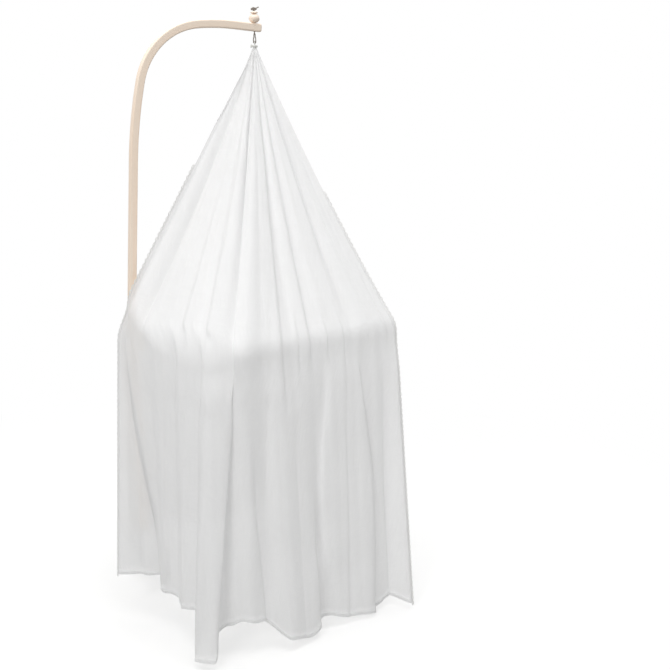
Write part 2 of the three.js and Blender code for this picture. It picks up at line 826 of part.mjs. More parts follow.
add('pole', makePole(), beech)
Object.entries(bolt_heights).forEach(([place, height]) => {
  add(`${place}_spacer`, seatBlock(-pad_thickness - contact_gap, spacer_thickness, height), beech)
  add(`${place}_pad`, seatBlock(0, pad_thickness, height), felt)
  add(`${place}_washer`, makeWasher(height), steel)
  add(`${place}_bolt`, makeBolt(height), steel)
})
add('ball_bead', makeBead(ball_diameter, ball_height, ball_bottom), bead_beech)
add('top_bead', makeBead(top_bead_diameter, top_bead_height, top_bead_bottom), bead_beech)
add('hanger_cord', makeHangerCord(), cord_brown)
add('neck_tie', makeNeckTie(), cord_brown)
add('gathered_neck', makeNeck(), voile)
const panels = { near: near_panel, far: far_panel }
Object.entries(panels).forEach(([place, panel]) => {
  const grid = panelGrid(panel)
  add(`${place}_panel`, shell(grid), voile)
  const edges = ['front', 'back']
  edges.forEach((edge) => {
    add(`${place}_${edge}_trim`, trimRibbon(grid, edge), picot)
  })
})

export default canopy
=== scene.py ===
import math

import bmesh
import bpy
import numpy as np
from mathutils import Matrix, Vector


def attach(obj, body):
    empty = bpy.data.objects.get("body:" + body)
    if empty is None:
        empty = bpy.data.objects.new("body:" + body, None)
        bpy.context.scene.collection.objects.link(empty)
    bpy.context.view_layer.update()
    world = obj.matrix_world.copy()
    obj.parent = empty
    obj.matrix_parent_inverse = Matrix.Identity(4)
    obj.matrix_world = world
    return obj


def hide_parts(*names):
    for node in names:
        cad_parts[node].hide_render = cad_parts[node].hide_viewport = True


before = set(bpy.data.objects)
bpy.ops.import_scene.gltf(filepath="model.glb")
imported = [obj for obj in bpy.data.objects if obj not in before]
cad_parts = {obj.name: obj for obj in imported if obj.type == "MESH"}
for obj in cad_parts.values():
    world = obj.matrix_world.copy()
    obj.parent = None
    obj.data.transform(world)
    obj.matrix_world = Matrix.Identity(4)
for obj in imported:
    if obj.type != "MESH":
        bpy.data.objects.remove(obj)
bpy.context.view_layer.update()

# Camera
# It stands on the near side, left of the pole and a little below its bend, and looks down on the canopy
# at the photograph's angle.
camera_place = (-1.0315, -2.40, 0.684)
camera_bearing = math.radians(35)
camera_pitch = math.radians(14.64)
camera_lens_mm = 51.0
camera_data = bpy.data.cameras.new("camera")
camera_data.lens = camera_lens_mm
camera = bpy.data.objects.new("camera", camera_data)
camera.location = camera_place
camera.rotation_euler = (math.pi / 2 - camera_pitch, 0, -camera_bearing)
bpy.context.scene.collection.objects.link(camera)
bpy.context.scene.camera = camera

# Pole
# One length of beech, 22 mm deep and 16 mm wide with rounded edges. It is steamed and bent over in
# four sweeps, then bored upright near its tip for the cord and across its foot for two bolts.
pole_depth = 0.022
pole_width = 0.016
pole_edge_radius = 0.004
seat_stack = 0.0206
pole_foot_x = -(seat_stack + pole_depth / 2)
pole_foot_z = -0.560
foot_length = 0.595
lower_sweep_radius = 1.780
lower_sweep_turn = math.radians(3.9)
stem_length = 0.338
upper_sweep_radius = 1.285
upper_sweep_turn = math.radians(9.2)
bend_radius = 0.195
bend_turn = math.radians(70.9)
arm_sweep_radius = 0.665
arm_sweep_turn = math.radians(9.8)
tip_length = 0.081
tip_round = 0.007
tip_end_share = 0.94
foot_chamfer = 0.0012
station_step = 0.006
corner_steps = 6
flat_guard = 0.0005
cord_bore_from_end = 0.015
cord_bore_radius = 0.00375
bolt_bore_radius = 0.0033
upper_bolt_z = 0.014
seat_pitch = 0.480
bolt_heights = {"upper": upper_bolt_z, "lower": upper_bolt_z - seat_pitch}


def pole_stations():
    """Stations up the pole's middle, each with x, z and the lean from upright."""
    runs = (
        (foot_length, 0),
        (lower_sweep_radius * lower_sweep_turn, lower_sweep_turn),
        (stem_length, 0),
        (upper_sweep_radius * upper_sweep_turn, upper_sweep_turn),
        (bend_radius * bend_turn, bend_turn),
        (arm_sweep_radius * arm_sweep_turn, arm_sweep_turn),
        (tip_length, 0),
    )
    x, z, lean = pole_foot_x, pole_foot_z, 0.0
    found = [(x, z, lean)]
    for length, turn in runs:
        steps = math.ceil(length / station_step)
        for _ in range(steps):
            lean += turn / steps / 2
            x += length / steps * math.sin(lean)
            z += length / steps * math.cos(lean)
            lean += turn / steps / 2
            found.append((x, z, lean))
    return np.array(found)


def rounded_outline(depth, width, radius, steps, guard):
    """A rectangle with round corners, with a point close to each corner's ends to keep its flats flat."""
    outline = []
    for corner in range(4):
        middle = (corner + 1 / 2) * math.pi / 2
        centre_x = math.copysign(depth / 2 - radius, math.cos(middle))
        centre_y = math.copysign(width / 2 - radius, math.sin(middle))
        for step in range(steps + 1):
            angle = (corner + step / steps) * math.pi / 2
            x = centre_x + radius * math.cos(angle)
            y = centre_y + radius * math.sin(angle)
            if step == 0:
                outline.append((x + guard * math.sin(angle), y - guard * math.cos(angle)))
            outline.append((x, y))
            if step == steps:
                outline.append((x - guard * math.sin(angle), y + guard * math.cos(angle)))
    return np.array(outline)


def new_object(name, mesh):
    """An object of a mesh, linked to the scene."""
    piece = bpy.data.objects.new(name, mesh)
    bpy.context.scene.collection.objects.link(piece)
    return piece


def shade(mesh, crease_degrees):
    """Shades a mesh smooth, with its edges sharp past an angle."""
    mesh.shade_smooth()
    mesh.set_sharp_from_angle(angle=math.radians(crease_degrees))


def closed_piece(name, vertices, faces, crease_degrees):
    """An object from points and faces, with its faces out and its edges sharp past an angle."""
    shape = bmesh.new()
    corners = [shape.verts.new(point) for point in vertices]
    for face in faces:
        shape.faces.new([corners[k] for k in face])
    if shape.calc_volume(signed=True) < 0:
        bmesh.ops.reverse_faces(shape, faces=shape.faces[:])
    mesh = bpy.data.meshes.new(name)
    shape.to_mesh(mesh)
    shape.free()
    shade(mesh, crease_degrees)
    return new_object(name, mesh)


def skinned(name, rings, crease_degrees=35, closed=False):
    """Joins a row of rings of equal count, and closes both ends or joins the last ring to the first."""
    rows, count = len(rings), len(rings[0])
    faces = []
    for row in range(rows if closed else rows - 1):
        here, there = row * count, (row + 1) % rows * count
        for k in range(count):
            after = (k + 1) % count
            faces.append((here + k, here + after, there + after, there + k))
    if not closed:
        faces.append(list(reversed(range(count))))
        faces.append([(rows - 1) * count + k for k in range(count)])
    return closed_piece(name, np.vstack(rings), faces, crease_degrees)


def rod(start, end, radius, sides=48):
    """A plain round rod between two points, used to bore holes."""
    start, end = np.array(start), np.array(end)
    along = (end - start) / np.linalg.norm(end - start)
    across = np.cross(along, (0, 1, 0) if abs(along[1]) < 1 / 2 else (1, 0, 0))
    across /= np.linalg.norm(across)
    other = np.cross(along, across)
    turns = [2 * math.pi * k / sides for k in range(sides)]
    ring = np.array([radius * (math.cos(t) * across + math.sin(t) * other) for t in turns])
    return skinned("drill", [start + ring, end + ring])


def bore(piece, drills, crease_degrees=35):
    """Cuts the drills out of a piece and throws them away."""
    for drill in drills:
        cut = piece.modifiers.new("bore", "BOOLEAN")
        cut.operation = "DIFFERENCE"
        cut.solver = "EXACT"
        cut.object = drill
    graph = bpy.context.evaluated_depsgraph_get()
    mesh = bpy.data.meshes.new_from_object(piece.evaluated_get(graph))
    piece.modifiers.clear()
    piece.data = mesh
    shade(mesh, crease_degrees)
    for drill in drills:
        bpy.data.objects.remove(drill)


def paint(red, green, blue):
    """A colour as it shows on a screen, from 0 to 255, turned into the linear one that shaders take."""
    linear = []
    for value in (red, green, blue):
        share = value / 255
        linear.append(share / 12.92 if share <= 0.04045 else ((share + 0.055) / 1.055) ** 2.4)
    return (*linear, 1.0)


def feed(tree, made, inputs):
    """Links or sets a node's inputs."""
    for name, value in inputs.items():
        if isinstance(value, bpy.types.NodeSocket):
            tree.links.new(value, made.inputs[name])
        else:
            made.inputs[name].default_value = value


def node(tree, kind, inputs=None, **settings):
    """Adds a node, sets its settings and feeds its inputs."""
    made = tree.nodes.new(kind)
    for name, value in settings.items():
        setattr(made, name, value)
    feed(tree, made, inputs or {})
    return made


def group_ends(tree, inputs, outputs):
    """Gives a node group its sockets by name and kind, and returns what comes in and the node it ends in."""
    for in_out, kinds in (("INPUT", inputs), ("OUTPUT", outputs)):
        for name, kind in kinds.items():
            tree.interface.new_socket(name, in_out=in_out, socket_type=f"NodeSocket{kind}")
    return node(tree, "NodeGroupInput").outputs, node(tree, "NodeGroupOutput")


def maths(tree, operation, *values):
    """What a maths node makes of its values."""
    return node(tree, "ShaderNodeMath", dict(enumerate(values)), operation=operation).outputs[0]


def ranged(tree, value, low=0, high=1, to_low=0, to_high=1):
    """A value carried from one range into another and held there."""
    return node(tree, "ShaderNodeMapRange", {
        "Value": value, "From Min": low, "From Max": high, "To Min": to_low, "To Max": to_high}).outputs[0]


def noise(tree, place, scale, detail, distortion=0):
    """Noise at a place. Its scale is one number, or one for each axis."""
    if isinstance(scale, tuple):
        place = node(tree, "ShaderNodeMapping", {"Vector": place, "Scale": scale}).outputs[0]
        scale = 1
    return node(tree, "ShaderNodeTexNoise", {
        "Vector": place, "Scale": scale, "Detail": detail, "Distortion": distortion}).outputs["Fac"]


def blend(tree, share, first, second):
    """A colour between two, by a share."""
    return node(tree, "ShaderNodeMix", {"Factor": share, 6: first, 7: second}, data_type="RGBA").outputs[2]


def bumped(tree, height, strength, distance, **more):
    """The surface's direction with a height's bump on it."""
    return node(tree, "ShaderNodeBump", {
        "Height": height, "Strength": strength, "Distance": distance, **more}).outputs[0]


def object_place(tree):
    """Where on the object a spot lies."""
    return node(tree, "ShaderNodeTexCoord").outputs["Object"]


def grain_group():
    """Beech: long pores along X of the incoming vector, broad soft bands and short dark flecks."""
    group = bpy.data.node_groups.new("beech grain", "ShaderNodeTree")
    given, kept = group_ends(
        group,
        {"Along": "Vector", "Pale": "Color", "Deep": "Color", "Fleck": "Color"},
        {"Color": "Color", "Roughness": "Float", "Height": "Float"},
    )
    pores = noise(group, given["Along"], scale=(11, 520, 520), detail=3)
    bands = noise(group, given["Along"], scale=(2.2, 95, 95), detail=4, distortion=0.4)
    flecks = noise(group, given["Along"], scale=(230, 1900, 1900), detail=1)
    fleck_mask = ranged(group, flecks, low=0.6, high=0.74, to_high=0.5)
    band_mask = ranged(group, bands, low=0.3, high=0.72)
    pore_mask = ranged(group, pores, low=0.35, high=0.7)
    pored_bands = maths(group, "MULTIPLY", band_mask, pore_mask)
    pored_share = maths(group, "MULTIPLY", pored_bands, 0.55)
    depth = maths(group, "MULTIPLY_ADD", band_mask, 0.45, pored_share)
    wood = blend(group, depth, given["Pale"], given["Deep"])
    feed(group, kept, {
        "Color": blend(group, fleck_mask, wood, given["Fleck"]),
        "Roughness": ranged(group, pores, 0.3, 0.7, to_low=0.42, to_high=0.56),
        "Height": maths(group, "SUBTRACT", pores, fleck_mask),
    })
    return group


beech_grain = grain_group()


def new_material(name):
    """An empty material with its Principled shader and its output."""
    material = bpy.data.materials.new(name)
    material.use_nodes = True
    tree = material.node_tree
    tree.nodes.clear()
    shader = tree.nodes.new("ShaderNodeBsdfPrincipled")
    end = node(tree, "ShaderNodeOutputMaterial", {"Surface": shader.outputs[0]})
    return material, tree, shader, end


def beech_material(name, pale, deep, fleck, attribute=None, order="ZYX"):
    """Clear-oiled beech. Its grain runs along an attribute's X, or along the first axis of an order."""
    material, tree, shader, _ = new_material(name)
    if attribute:
        along = node(tree, "ShaderNodeAttribute", attribute_name=attribute).outputs["Vector"]
    else:
        parts = node(tree, "ShaderNodeSeparateXYZ", {0: object_place(tree)}).outputs
        turned = {axis: parts[source] for axis, source in zip("XYZ", order)}
        along = node(tree, "ShaderNodeCombineXYZ", turned).outputs[0]
    grain = node(tree, "ShaderNodeGroup", {
        "Along": along, "Pale": pale, "Deep": deep, "Fleck": fleck}, node_tree=beech_grain).outputs
    feed(tree, shader, {
        "Base Color": grain["Color"], "Roughness": grain["Roughness"],
        "Normal": bumped(tree, grain["Height"], strength=0.2, distance=0.0002),
        "Coat Weight": 0.05, "Coat Roughness": 0.4,
    })
    return material


stations = pole_stations()
tip_x, tip_z, tip_lean = stations[-1]
pole_outline = rounded_outline(pole_depth, pole_width, pole_edge_radius, corner_steps, flat_guard)


def pole_ring(x, z, lean, depth_share=1, width_share=1):
    """The pole's outline across a station."""
    inward = pole_outline[:, 0] * depth_share
    side = pole_outline[:, 1] * width_share
    return np.column_stack((x + inward * math.cos(lean), side, z - inward * math.sin(lean)))


chamfer_depth_share = 1 - 2 * foot_chamfer / pole_depth
chamfer_width_share = 1 - 2 * foot_chamfer / pole_width
foot_x, foot_z, _ = stations[0]
pole_rings = [
    pole_ring(foot_x, foot_z, 0, chamfer_depth_share, chamfer_width_share),
    pole_ring(foot_x, foot_z + foot_chamfer, 0),
]
pole_rings += [pole_ring(*station) for station in stations[1:]]
tip_steps = 9
for step in range(1, tip_steps + 1):
    angle = step / tip_steps * math.pi / 2 * tip_end_share
    advance = tip_round * math.sin(angle)
    narrowed = tip_round * (1 - math.cos(angle))
    pole_rings.append(pole_ring(
        tip_x + advance * math.sin(tip_lean),
        tip_z + advance * math.cos(tip_lean),
        tip_lean,
        1 - 2 * narrowed / pole_depth,
        1 - 2 * narrowed / pole_width,
    ))
bent_pole = skinned("bent_pole", pole_rings)

cord_x = tip_x - cord_bore_from_end * math.sin(tip_lean)
arm_middle_z = tip_z - cord_bore_from_end * math.cos(tip_lean)
half_arm = pole_depth / 2 / math.sin(tip_lean)
arm_top_z = arm_middle_z + half_arm
arm_under_z = arm_middle_z - half_arm
bore_start = (cord_x, 0, arm_middle_z - pole_depth)
bore_end = (cord_x, 0, arm_middle_z + pole_depth)
drills = [rod(bore_start, bore_end, cord_bore_radius)]
for height in bolt_heights.values():
    drill_start = (pole_foot_x - pole_depth, 0, height)
    drill_end = (pole_foot_x + pole_depth, 0, height)
    drills.append(rod(drill_start, drill_end, bolt_bore_radius))
bore(bent_pole, drills)

# The grain follows the bend: each point keeps its place along the pole, across it and to the side.
runs_so_far = np.concatenate(([0], np.cumsum(np.hypot(*np.diff(stations[:, :2], axis=0).T))))
pole_points = np.array([vertex.co for vertex in bent_pole.data.vertices])
nearest = np.argmin(np.hypot(
    pole_points[:, None, 0] - stations[None, :, 0],
    pole_points[:, None, 2] - stations[None, :, 1],
), axis=1)
from_x = pole_points[:, 0] - stations[nearest, 0]
from_z = pole_points[:, 2] - stations[nearest, 1]
leans = stations[nearest, 2]
along_pole = runs_so_far[nearest] + from_x * np.sin(leans) + from_z * np.cos(leans)
across_pole = from_x * np.cos(leans) - from_z * np.sin(leans)
straightened = bent_pole.data.attributes.new("straightened", "FLOAT_VECTOR", "POINT")
straightened.data.foreach_set("vector", np.column_stack((along_pole, across_pole, pole_points[:, 1])).ravel())
oiled_beech = beech_material(
    "oiled beech", paint(255, 240, 223), paint(253, 228, 205), paint(240, 206, 179), "straightened")
bent_pole.data.materials.append(oiled_beech)
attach(bent_pole, "stand")
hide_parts("pole")

# Spacers and felt pads
# At each seat a beech block keeps the pole at its distance, and a pressed wool felt pad on it spares the
# finish behind. Both are sawn to the pole's width, eased at the edges and bored for the bolt.
spacer_thickness = 0.017
spacer_height = 0.052
spacer_corner_radius = 0.003
pad_thickness = 0.003
seat_gap = 0.0003
eased_edge = 0.0008
pad_eased_edge = 0.0005
ease_middle_share = 0.3


def seat_block(name, inner_x, thickness, height, edge):
    """A block with round corners and eased edges, its inner side at inner_x, bored at the bolt's height."""
    outline = rounded_outline(spacer_height, pole_width, spacer_corner_radius, corner_steps, flat_guard)
    eases = ((0, edge), (edge * ease_middle_share, edge * ease_middle_share), (edge, 0))
    faces_in = [(inner_x - thickness + along, inset) for along, inset in eases]
    faces_out = [(inner_x - along, inset) for along, inset in reversed(eases)]
    rings = []
    for x, inset in faces_in + faces_out:
        up = outline[:, 0] * (1 - 2 * inset / spacer_height)
        side = outline[:, 1] * (1 - 2 * inset / pole_width)
        rings.append(np.column_stack((np.full(len(up), x), side, height - upper_bolt_z + up)))
    block = skinned(name, rings)
    drill_ends = [(inner_x - 2 * thickness, 0, height), (inner_x + thickness, 0, height)]
    bore(block, [rod(*drill_ends, bolt_bore_radius)])
    return block


def fibre_material(name, deep, pale, fine, broad, fine_share, tones, rough, bump, sheen):
    """Matted or spun fibre. Its fine and broad noise are each a scale, a detail and a distortion."""
    material, tree, shader, _ = new_material(name)
    place = object_place(tree)
    fibres = noise(tree, place, *fine)
    clouded = maths(tree, "MULTIPLY_ADD", fibres, fine_share, noise(tree, place, *broad))
    feed(tree, shader, {
        "Base Color": blend(tree, ranged(tree, clouded, *tones), deep, pale),
        "Roughness": ranged(tree, fibres, 0, 1, *rough),
        "Normal": bumped(tree, fibres, *bump),
        "Sheen Weight": sheen,
    })
    return material


block_beech = beech_material("block beech", paint(251, 235, 216), paint(240, 214, 187), paint(214, 180, 149))
wool_felt = fibre_material(
    "wool felt", paint(196, 190, 178), paint(226, 221, 210), fine=(2600, 4, 1.5), broad=(160, 3),
    fine_share=0.6, tones=(0.5, 1.1), rough=(0.85, 1), bump=(0.6, 0.0003), sheen=0.3)
for seat, height in bolt_heights.items():
    spacer_x = -(pad_thickness + seat_gap)
    spacer = seat_block(f"{seat}_spacer_block", spacer_x, spacer_thickness, height, eased_edge)
    spacer.data.materials.append(block_beech)
    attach(spacer, "stand")
    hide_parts(f"{seat}_spacer")
    pad = seat_block(f"{seat}_felt_pad", 0, pad_thickness, height, pad_eased_edge)
    pad.data.materials.append(wool_felt)
    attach(pad, "stand")
    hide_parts(f"{seat}_pad")

# Bolts and washers
# Two zinc-plated M6 connector bolts with flat round heads and hexagonal sockets, each on a plain washer.
# They pass through the pole, the spacer and the pad, and their threads stand out beyond for the inserts.
washer_thickness = 0.0015
washer_radius = 0.0075
washer_hole_radius = 0.0033
washer_sides = 64
washer_rim_share = 0.2
bolt_radius = 0.003
bolt_end_x = 0.024
bolt_end_chamfer = 0.001
bolt_end_guard = 0.00001
bolt_head_radius = 0.007
bolt_head_thickness = 0.004
bolt_head_edge = 0.001
head_round_shares = (0.3, 0.25)
shank_ring_share = 0.6
key_width = 0.004
key_depth = 0.0024
key_sides = 6
key_crease_degrees = 30
thread_pitch = 0.001
thread_depth = 0.0004
thread_length = 0.026
thread_rows_a_turn = 8
thread_run_out_turns = 2
bolt_sides = 48
pole_outer_x = pole_foot_x - pole_depth / 2
washer_x = pole_outer_x - seat_gap - washer_thickness
washer_face_x = washer_x - seat_gap


def lathe(name, profile, sides, axis_point, along_x=False, closed=False):
    """Turns a profile of radius and height about an upright axis, or one along X."""
    turns = np.arange(sides) * 2 * math.pi / sides
    rings = []
    for radius, height in profile:
        flat = np.column_stack((radius * np.cos(turns), radius * np.sin(turns), np.full(sides, height)))
        if along_x:
            flat = flat[:, (2, 0, 1)]
        rings.append(flat + np.array(axis_point))
    return skinned(name, rings, closed=closed)


def threaded_bolt(name, height):
    """A flat-headed bolt with a hexagonal key socket and a cut thread on the end of its shank."""
    head_x = washer_face_x - bolt_head_thickness
    length = bolt_end_x - head_x
    thread_start = length - thread_length
    rows = int(thread_length / thread_pitch * thread_rows_a_turn)
    profile = [
        (bolt_head_radius - bolt_head_edge, 0),
        (bolt_head_radius - bolt_head_edge * head_round_shares[0], bolt_head_edge * head_round_shares[1]),
        (bolt_head_radius, bolt_head_edge),
        (bolt_head_radius, bolt_head_thickness),
        (bolt_radius, bolt_head_thickness),
        (bolt_radius, thread_start * shank_ring_share),
    ]
    profile += [(bolt_radius, thread_start + thread_length * k / rows) for k in range(rows)]
    profile.append((bolt_radius - bolt_end_chamfer + bolt_end_guard, length))
    bolt = lathe(name, profile, bolt_sides, (head_x, 0, height), along_x=True)
    for vertex in bolt.data.vertices:
        along = vertex.co.x - head_x
        if along > thread_start:
            turn = math.atan2(vertex.co.z - height, vertex.co.y) / (2 * math.pi)
            wave = (along / thread_pitch - turn) % 1
            groove = thread_depth * (1 - abs(2 * wave - 1))
            run_out = min((along - thread_start) / (thread_run_out_turns * thread_pitch), 1)
            end_ease = min((length - along) / bolt_end_chamfer, 1)
            ease = 1 - groove * run_out / bolt_radius
            ease *= 1 - (1 - end_ease) * bolt_end_chamfer / 2 / bolt_radius
            vertex.co.y *= ease
            vertex.co.z = height + (vertex.co.z - height) * ease
    key_ends = [(head_x + side * key_depth, 0, height) for side in (-1, 1)]
    bore(bolt, [rod(*key_ends, key_width / math.sqrt(3), key_sides)], key_crease_degrees)
    return bolt


def zinc_material():
    """Zinc-plated steel: satin, with fine turning marks and a faint mottled bloom."""
    material, tree, shader, _ = new_material("zinc-plated steel")
    place = object_place(tree)
    bloom = noise(tree, place, scale=420, detail=5)
    turning_marks = noise(tree, place, scale=(5200, 300, 300), detail=2)
    feed(tree, shader, {
        "Base Color": blend(tree, bloom, paint(172, 174, 178), paint(214, 215, 216)),
        "Roughness": ranged(tree, bloom, to_low=0.26, to_high=0.46),
        "Normal": bumped(tree, turning_marks, strength=0.15, distance=0.0001),
        "Metallic": 1,
    })
    return material


zinc = zinc_material()
rim = washer_thickness * washer_rim_share
washer_half = (
    (washer_hole_radius, rim), (washer_hole_radius + rim, 0),
    (washer_radius - rim, 0), (washer_radius, rim),
)
washer_profile = [*washer_half, *((radius, washer_thickness - x) for radius, x in reversed(washer_half))]
for seat, height in bolt_heights.items():
    bolt = threaded_bolt(f"{seat}_threaded_bolt", height)
    bolt.data.materials.append(zinc)
    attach(bolt, "stand")
    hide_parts(f"{seat}_bolt")
    washer = lathe(
        f"{seat}_plain_washer", washer_profile, washer_sides, (washer_x, 0, height),
        along_x=True, closed=True)
    washer.data.materials.append(zinc)
    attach(washer, "stand")
    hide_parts(f"{seat}_washer")

# Beads
# A turned beech ball stands on the arm and a flat turned bead on the ball. Both are bored through and
# threaded on the doubled cord, and stay loose enough to spin.
ball_radius = 0.015
ball_height = 0.024
flat_bead_radius = 0.0105
flat_bead_height = 0.0065
bead_gap = 0.0003
bead_bore_ease = 0.0006
bead_sides = 96
bead_steps = 30
ball_bottom_z = arm_top_z + cord_bore_radius * abs(math.cos(tip_lean)) + bead_gap
flat_bead_bottom_z = ball_bottom_z + ball_height + bead_gap
knot_bottom_z = flat_bead_bottom_z + flat_bead_height + bead_gap


def turned_bead(name, radius, height, bottom_z):
    """An oval profile cut off by its bore, with the bore's rim eased."""
    start = math.asin((cord_bore_radius + bead_bore_ease) / radius)
    profile = []
    for step in range(bead_steps + 1):
        angle = start + (math.pi - 2 * start) * step / bead_steps
        profile.append((radius * math.sin(angle), -height / 2 * math.cos(angle) / math.cos(start)))
    profile.append((cord_bore_radius, height / 2 - bead_bore_ease))
    profile.append((cord_bore_radius, bead_bore_ease - height / 2))
    return lathe(name, profile, bead_sides, (cord_x, 0, bottom_z + height / 2), closed=True)


ball_beech = beech_material(
    "turned beech", paint(252, 237, 222), paint(246, 224, 204), paint(226, 198, 172), order="YZX")
wooden_ball = turned_bead("wooden_ball", ball_radius, ball_height, ball_bottom_z)
wooden_ball.data.materials.append(ball_beech)
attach(wooden_ball, "ball")
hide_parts("ball_bead")
wooden_disc = turned_bead("wooden_flat_bead", flat_bead_radius, flat_bead_height, flat_bead_bottom_z)
wooden_disc.data.materials.append(ball_beech)
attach(wooden_disc, "flat_bead")
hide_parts("top_bead")

# Hanger cord
# One dark cotton cord of three laid strands, doubled. It is knotted above the beads with two short
# tails, runs down through their bores and the arm's, twists and hangs in a loop below the arm.
cord_radius = 0.0016
cord_pair_offset = 0.00185
loop_hang = 0.031
loop_half_spread = 0.0032
loop_twist_length = 0.014
loop_spread_length = 0.006
loop_bearing = math.radians(-35)
loop_twist = math.radians(90)
knot_radius = 0.00315
knot_tilt = math.radians(70)
knot_half_height = 0.0021
knot_steps = 90
trefoil_ratio = 1.5
tail_bearing = math.radians(-35)
tail_reaches = (0.0142, 0.0075)
tail_rise_shares = (0.42, -0.12)
tail_point_shares = (0.15, 0.4, 0.7, 1)
bight_radius = 0.0028
bight_height_share = 0.7
bight_reach = 0.0052
lay_length = 0.0075
strand_count = 3
strand_radius_share = 0.47
cord_step = 0.0006
strand_sides = 10
bend_steps = 16
grown_crease_degrees = 50


def even_curve(tree, edges, step):
    """A curve along a mesh's bare edges, with its points a step apart."""
    curve = node(tree, "GeometryNodeMeshToCurve", {0: edges}).outputs[0]
    return node(tree, "GeometryNodeResampleCurve", {"Curve": curve, "Length": step}, mode="LENGTH").outputs[0]


def made_real(tree, geometry, finish):
    """Geometry without instances, in its material."""
    real = node(tree, "GeometryNodeRealizeInstances", {0: geometry}).outputs[0]
    return node(tree, "GeometryNodeSetMaterial", {0: real, "Material": finish}).outputs[0]


def vectors(tree, operation, inputs):
    """What a vector maths node makes of its inputs."""
    return node(tree, "ShaderNodeVectorMath", inputs, operation=operation).outputs[0]


def laid_cord_tree():
    """Lays strands round a path: copies it once a strand, winds each copy about it and makes it round."""
    tree = bpy.data.node_groups.new("laid cord", "GeometryNodeTree")
    given, kept = group_ends(
        tree,
        {"Path": "Geometry", "Cord Radius": "Float", "Lay Length": "Float", "Strands": "Int", "Sides": "Int",
         "Step": "Float", "Finish": "Material"},
        {"Cord": "Geometry"},
    )
    copies = node(tree, "GeometryNodeDuplicateElements", {
        "Geometry": even_curve(tree, given["Path"], given["Step"]), "Amount": given["Strands"],
    }, domain="SPLINE").outputs
    run = node(tree, "GeometryNodeSplineParameter").outputs["Length"]
    lays = maths(tree, "DIVIDE", run, given["Lay Length"])
    strand_place = maths(tree, "DIVIDE", copies["Duplicate Index"], given["Strands"])
    angle = maths(tree, "MULTIPLY", maths(tree, "ADD", lays, strand_place), 2 * math.pi)
    normal = node(tree, "GeometryNodeInputNormal").outputs[0]
    tangent = node(tree, "GeometryNodeInputTangent").outputs[0]
    side = vectors(tree, "CROSS_PRODUCT", {0: tangent, 1: normal})
    first = vectors(tree, "SCALE", {0: normal, "Scale": maths(tree, "COSINE", angle)})
    second = vectors(tree, "SCALE", {0: side, "Scale": maths(tree, "SINE", angle)})
    winding = maths(tree, "MULTIPLY", given["Cord Radius"], 1 - strand_radius_share)
    offset = vectors(tree, "SCALE", {0: vectors(tree, "ADD", {0: first, 1: second}), "Scale": winding})
    wound = node(tree, "GeometryNodeSetPosition", {
        "Geometry": copies["Geometry"], "Offset": offset}).outputs[0]
    section = node(tree, "GeometryNodeCurvePrimitiveCircle", {
        "Resolution": given["Sides"],
        "Radius": maths(tree, "MULTIPLY", given["Cord Radius"], strand_radius_share),
    }).outputs[0]
    swept = node(tree, "GeometryNodeCurveToMesh", {
        "Curve": wound, "Profile Curve": section, "Fill Caps": True}).outputs[0]
    feed(tree, kept, {"Cord": made_real(tree, swept, given["Finish"])})
    return tree


def grow(name, carrier, tree, values):
    """Runs a Geometry Nodes tree on a carrier and keeps what it makes as a plain mesh."""
    modifier = carrier.modifiers.new("grow", "NODES")
    modifier.node_group = tree
    for item in tree.interface.items_tree:
        if item.in_out == "INPUT" and item.name in values:
            modifier[item.identifier] = values[item.name]
    graph = bpy.context.evaluated_depsgraph_get()
    mesh = bpy.data.meshes.new_from_object(carrier.evaluated_get(graph))
    bpy.data.objects.remove(carrier)
    mesh.name = name
    shade(mesh, grown_crease_degrees)
    return new_object(name, mesh)


def path_carrier(paths):
    """A mesh of bare edges along one or more paths, each a row of points and whether it closes."""
    points, edges = [], []
    for path, loops in paths:
        first = len(points)
        points += [tuple(point) for point in path]
        edges += [(first + k, first + k + 1) for k in range(len(path) - 1)]
        if loops:
            edges.append((first + len(path) - 1, first))
    mesh = bpy.data.meshes.new("carrier")
    mesh.from_pydata(points, edges, [])
    return new_object("carrier", mesh)


def eased(low, high, value):
    """A smooth step from 0 at low to 1 at high."""
    share = np.clip((value - low) / (high - low), 0, 1)
    return share * share * (3 - 2 * share)


def across_cord(across, height, bearing):
    """A point across the cord's axis, in an upright plane at a bearing."""
    return (cord_x + across * math.cos(bearing), across * math.sin(bearing), height)


loop_bottom_z = arm_under_z - loop_hang
knot_z = knot_bottom_z + cord_radius + knot_half_height


def hanging_strand(side):
    """One half of the doubled cord, from the knot down to the loop's bend."""
    bore_bearing = loop_bearing - loop_twist
    points = [across_cord(side * cord_pair_offset, knot_z, bore_bearing)]
    for step in range(bend_steps + 1):
        share = step / bend_steps
        height = arm_under_z - loop_twist_length * share
        bearing = bore_bearing + loop_twist * float(eased(0, 1, share))
        points.append(across_cord(side * cord_pair_offset, height, bearing))
    for step in range(1, bend_steps + 1):
        share = step / bend_steps
        spread = cord_pair_offset + (loop_half_spread - cord_pair_offset) * float(eased(0, 1, share))
        height = arm_under_z - loop_twist_length - loop_spread_length * share
        points.append(across_cord(side * spread, height, loop_bearing))
    return points


def knot_path(centre, radius, tilt, bearing):
    """A pulled-up trefoil, the form of a simple stopper knot."""
    points = []
    for step in range(knot_steps):
        turn = 4 * math.pi * step / knot_steps
        reach = radius * (2 + math.cos(trefoil_ratio * turn)) / 2
        x, y, z = reach * math.cos(turn), reach * math.sin(turn), radius * math.sin(trefoil_ratio * turn) / 2
        y, z = y * math.cos(tilt) - z * math.sin(tilt), y * math.sin(tilt) + z * math.cos(tilt)
        x, y = x * math.cos(bearing) - y * math.sin(bearing), x * math.sin(bearing) + y * math.cos(bearing)
        points.append((centre[0] + x, centre[1] + y, centre[2] + z))
    return points


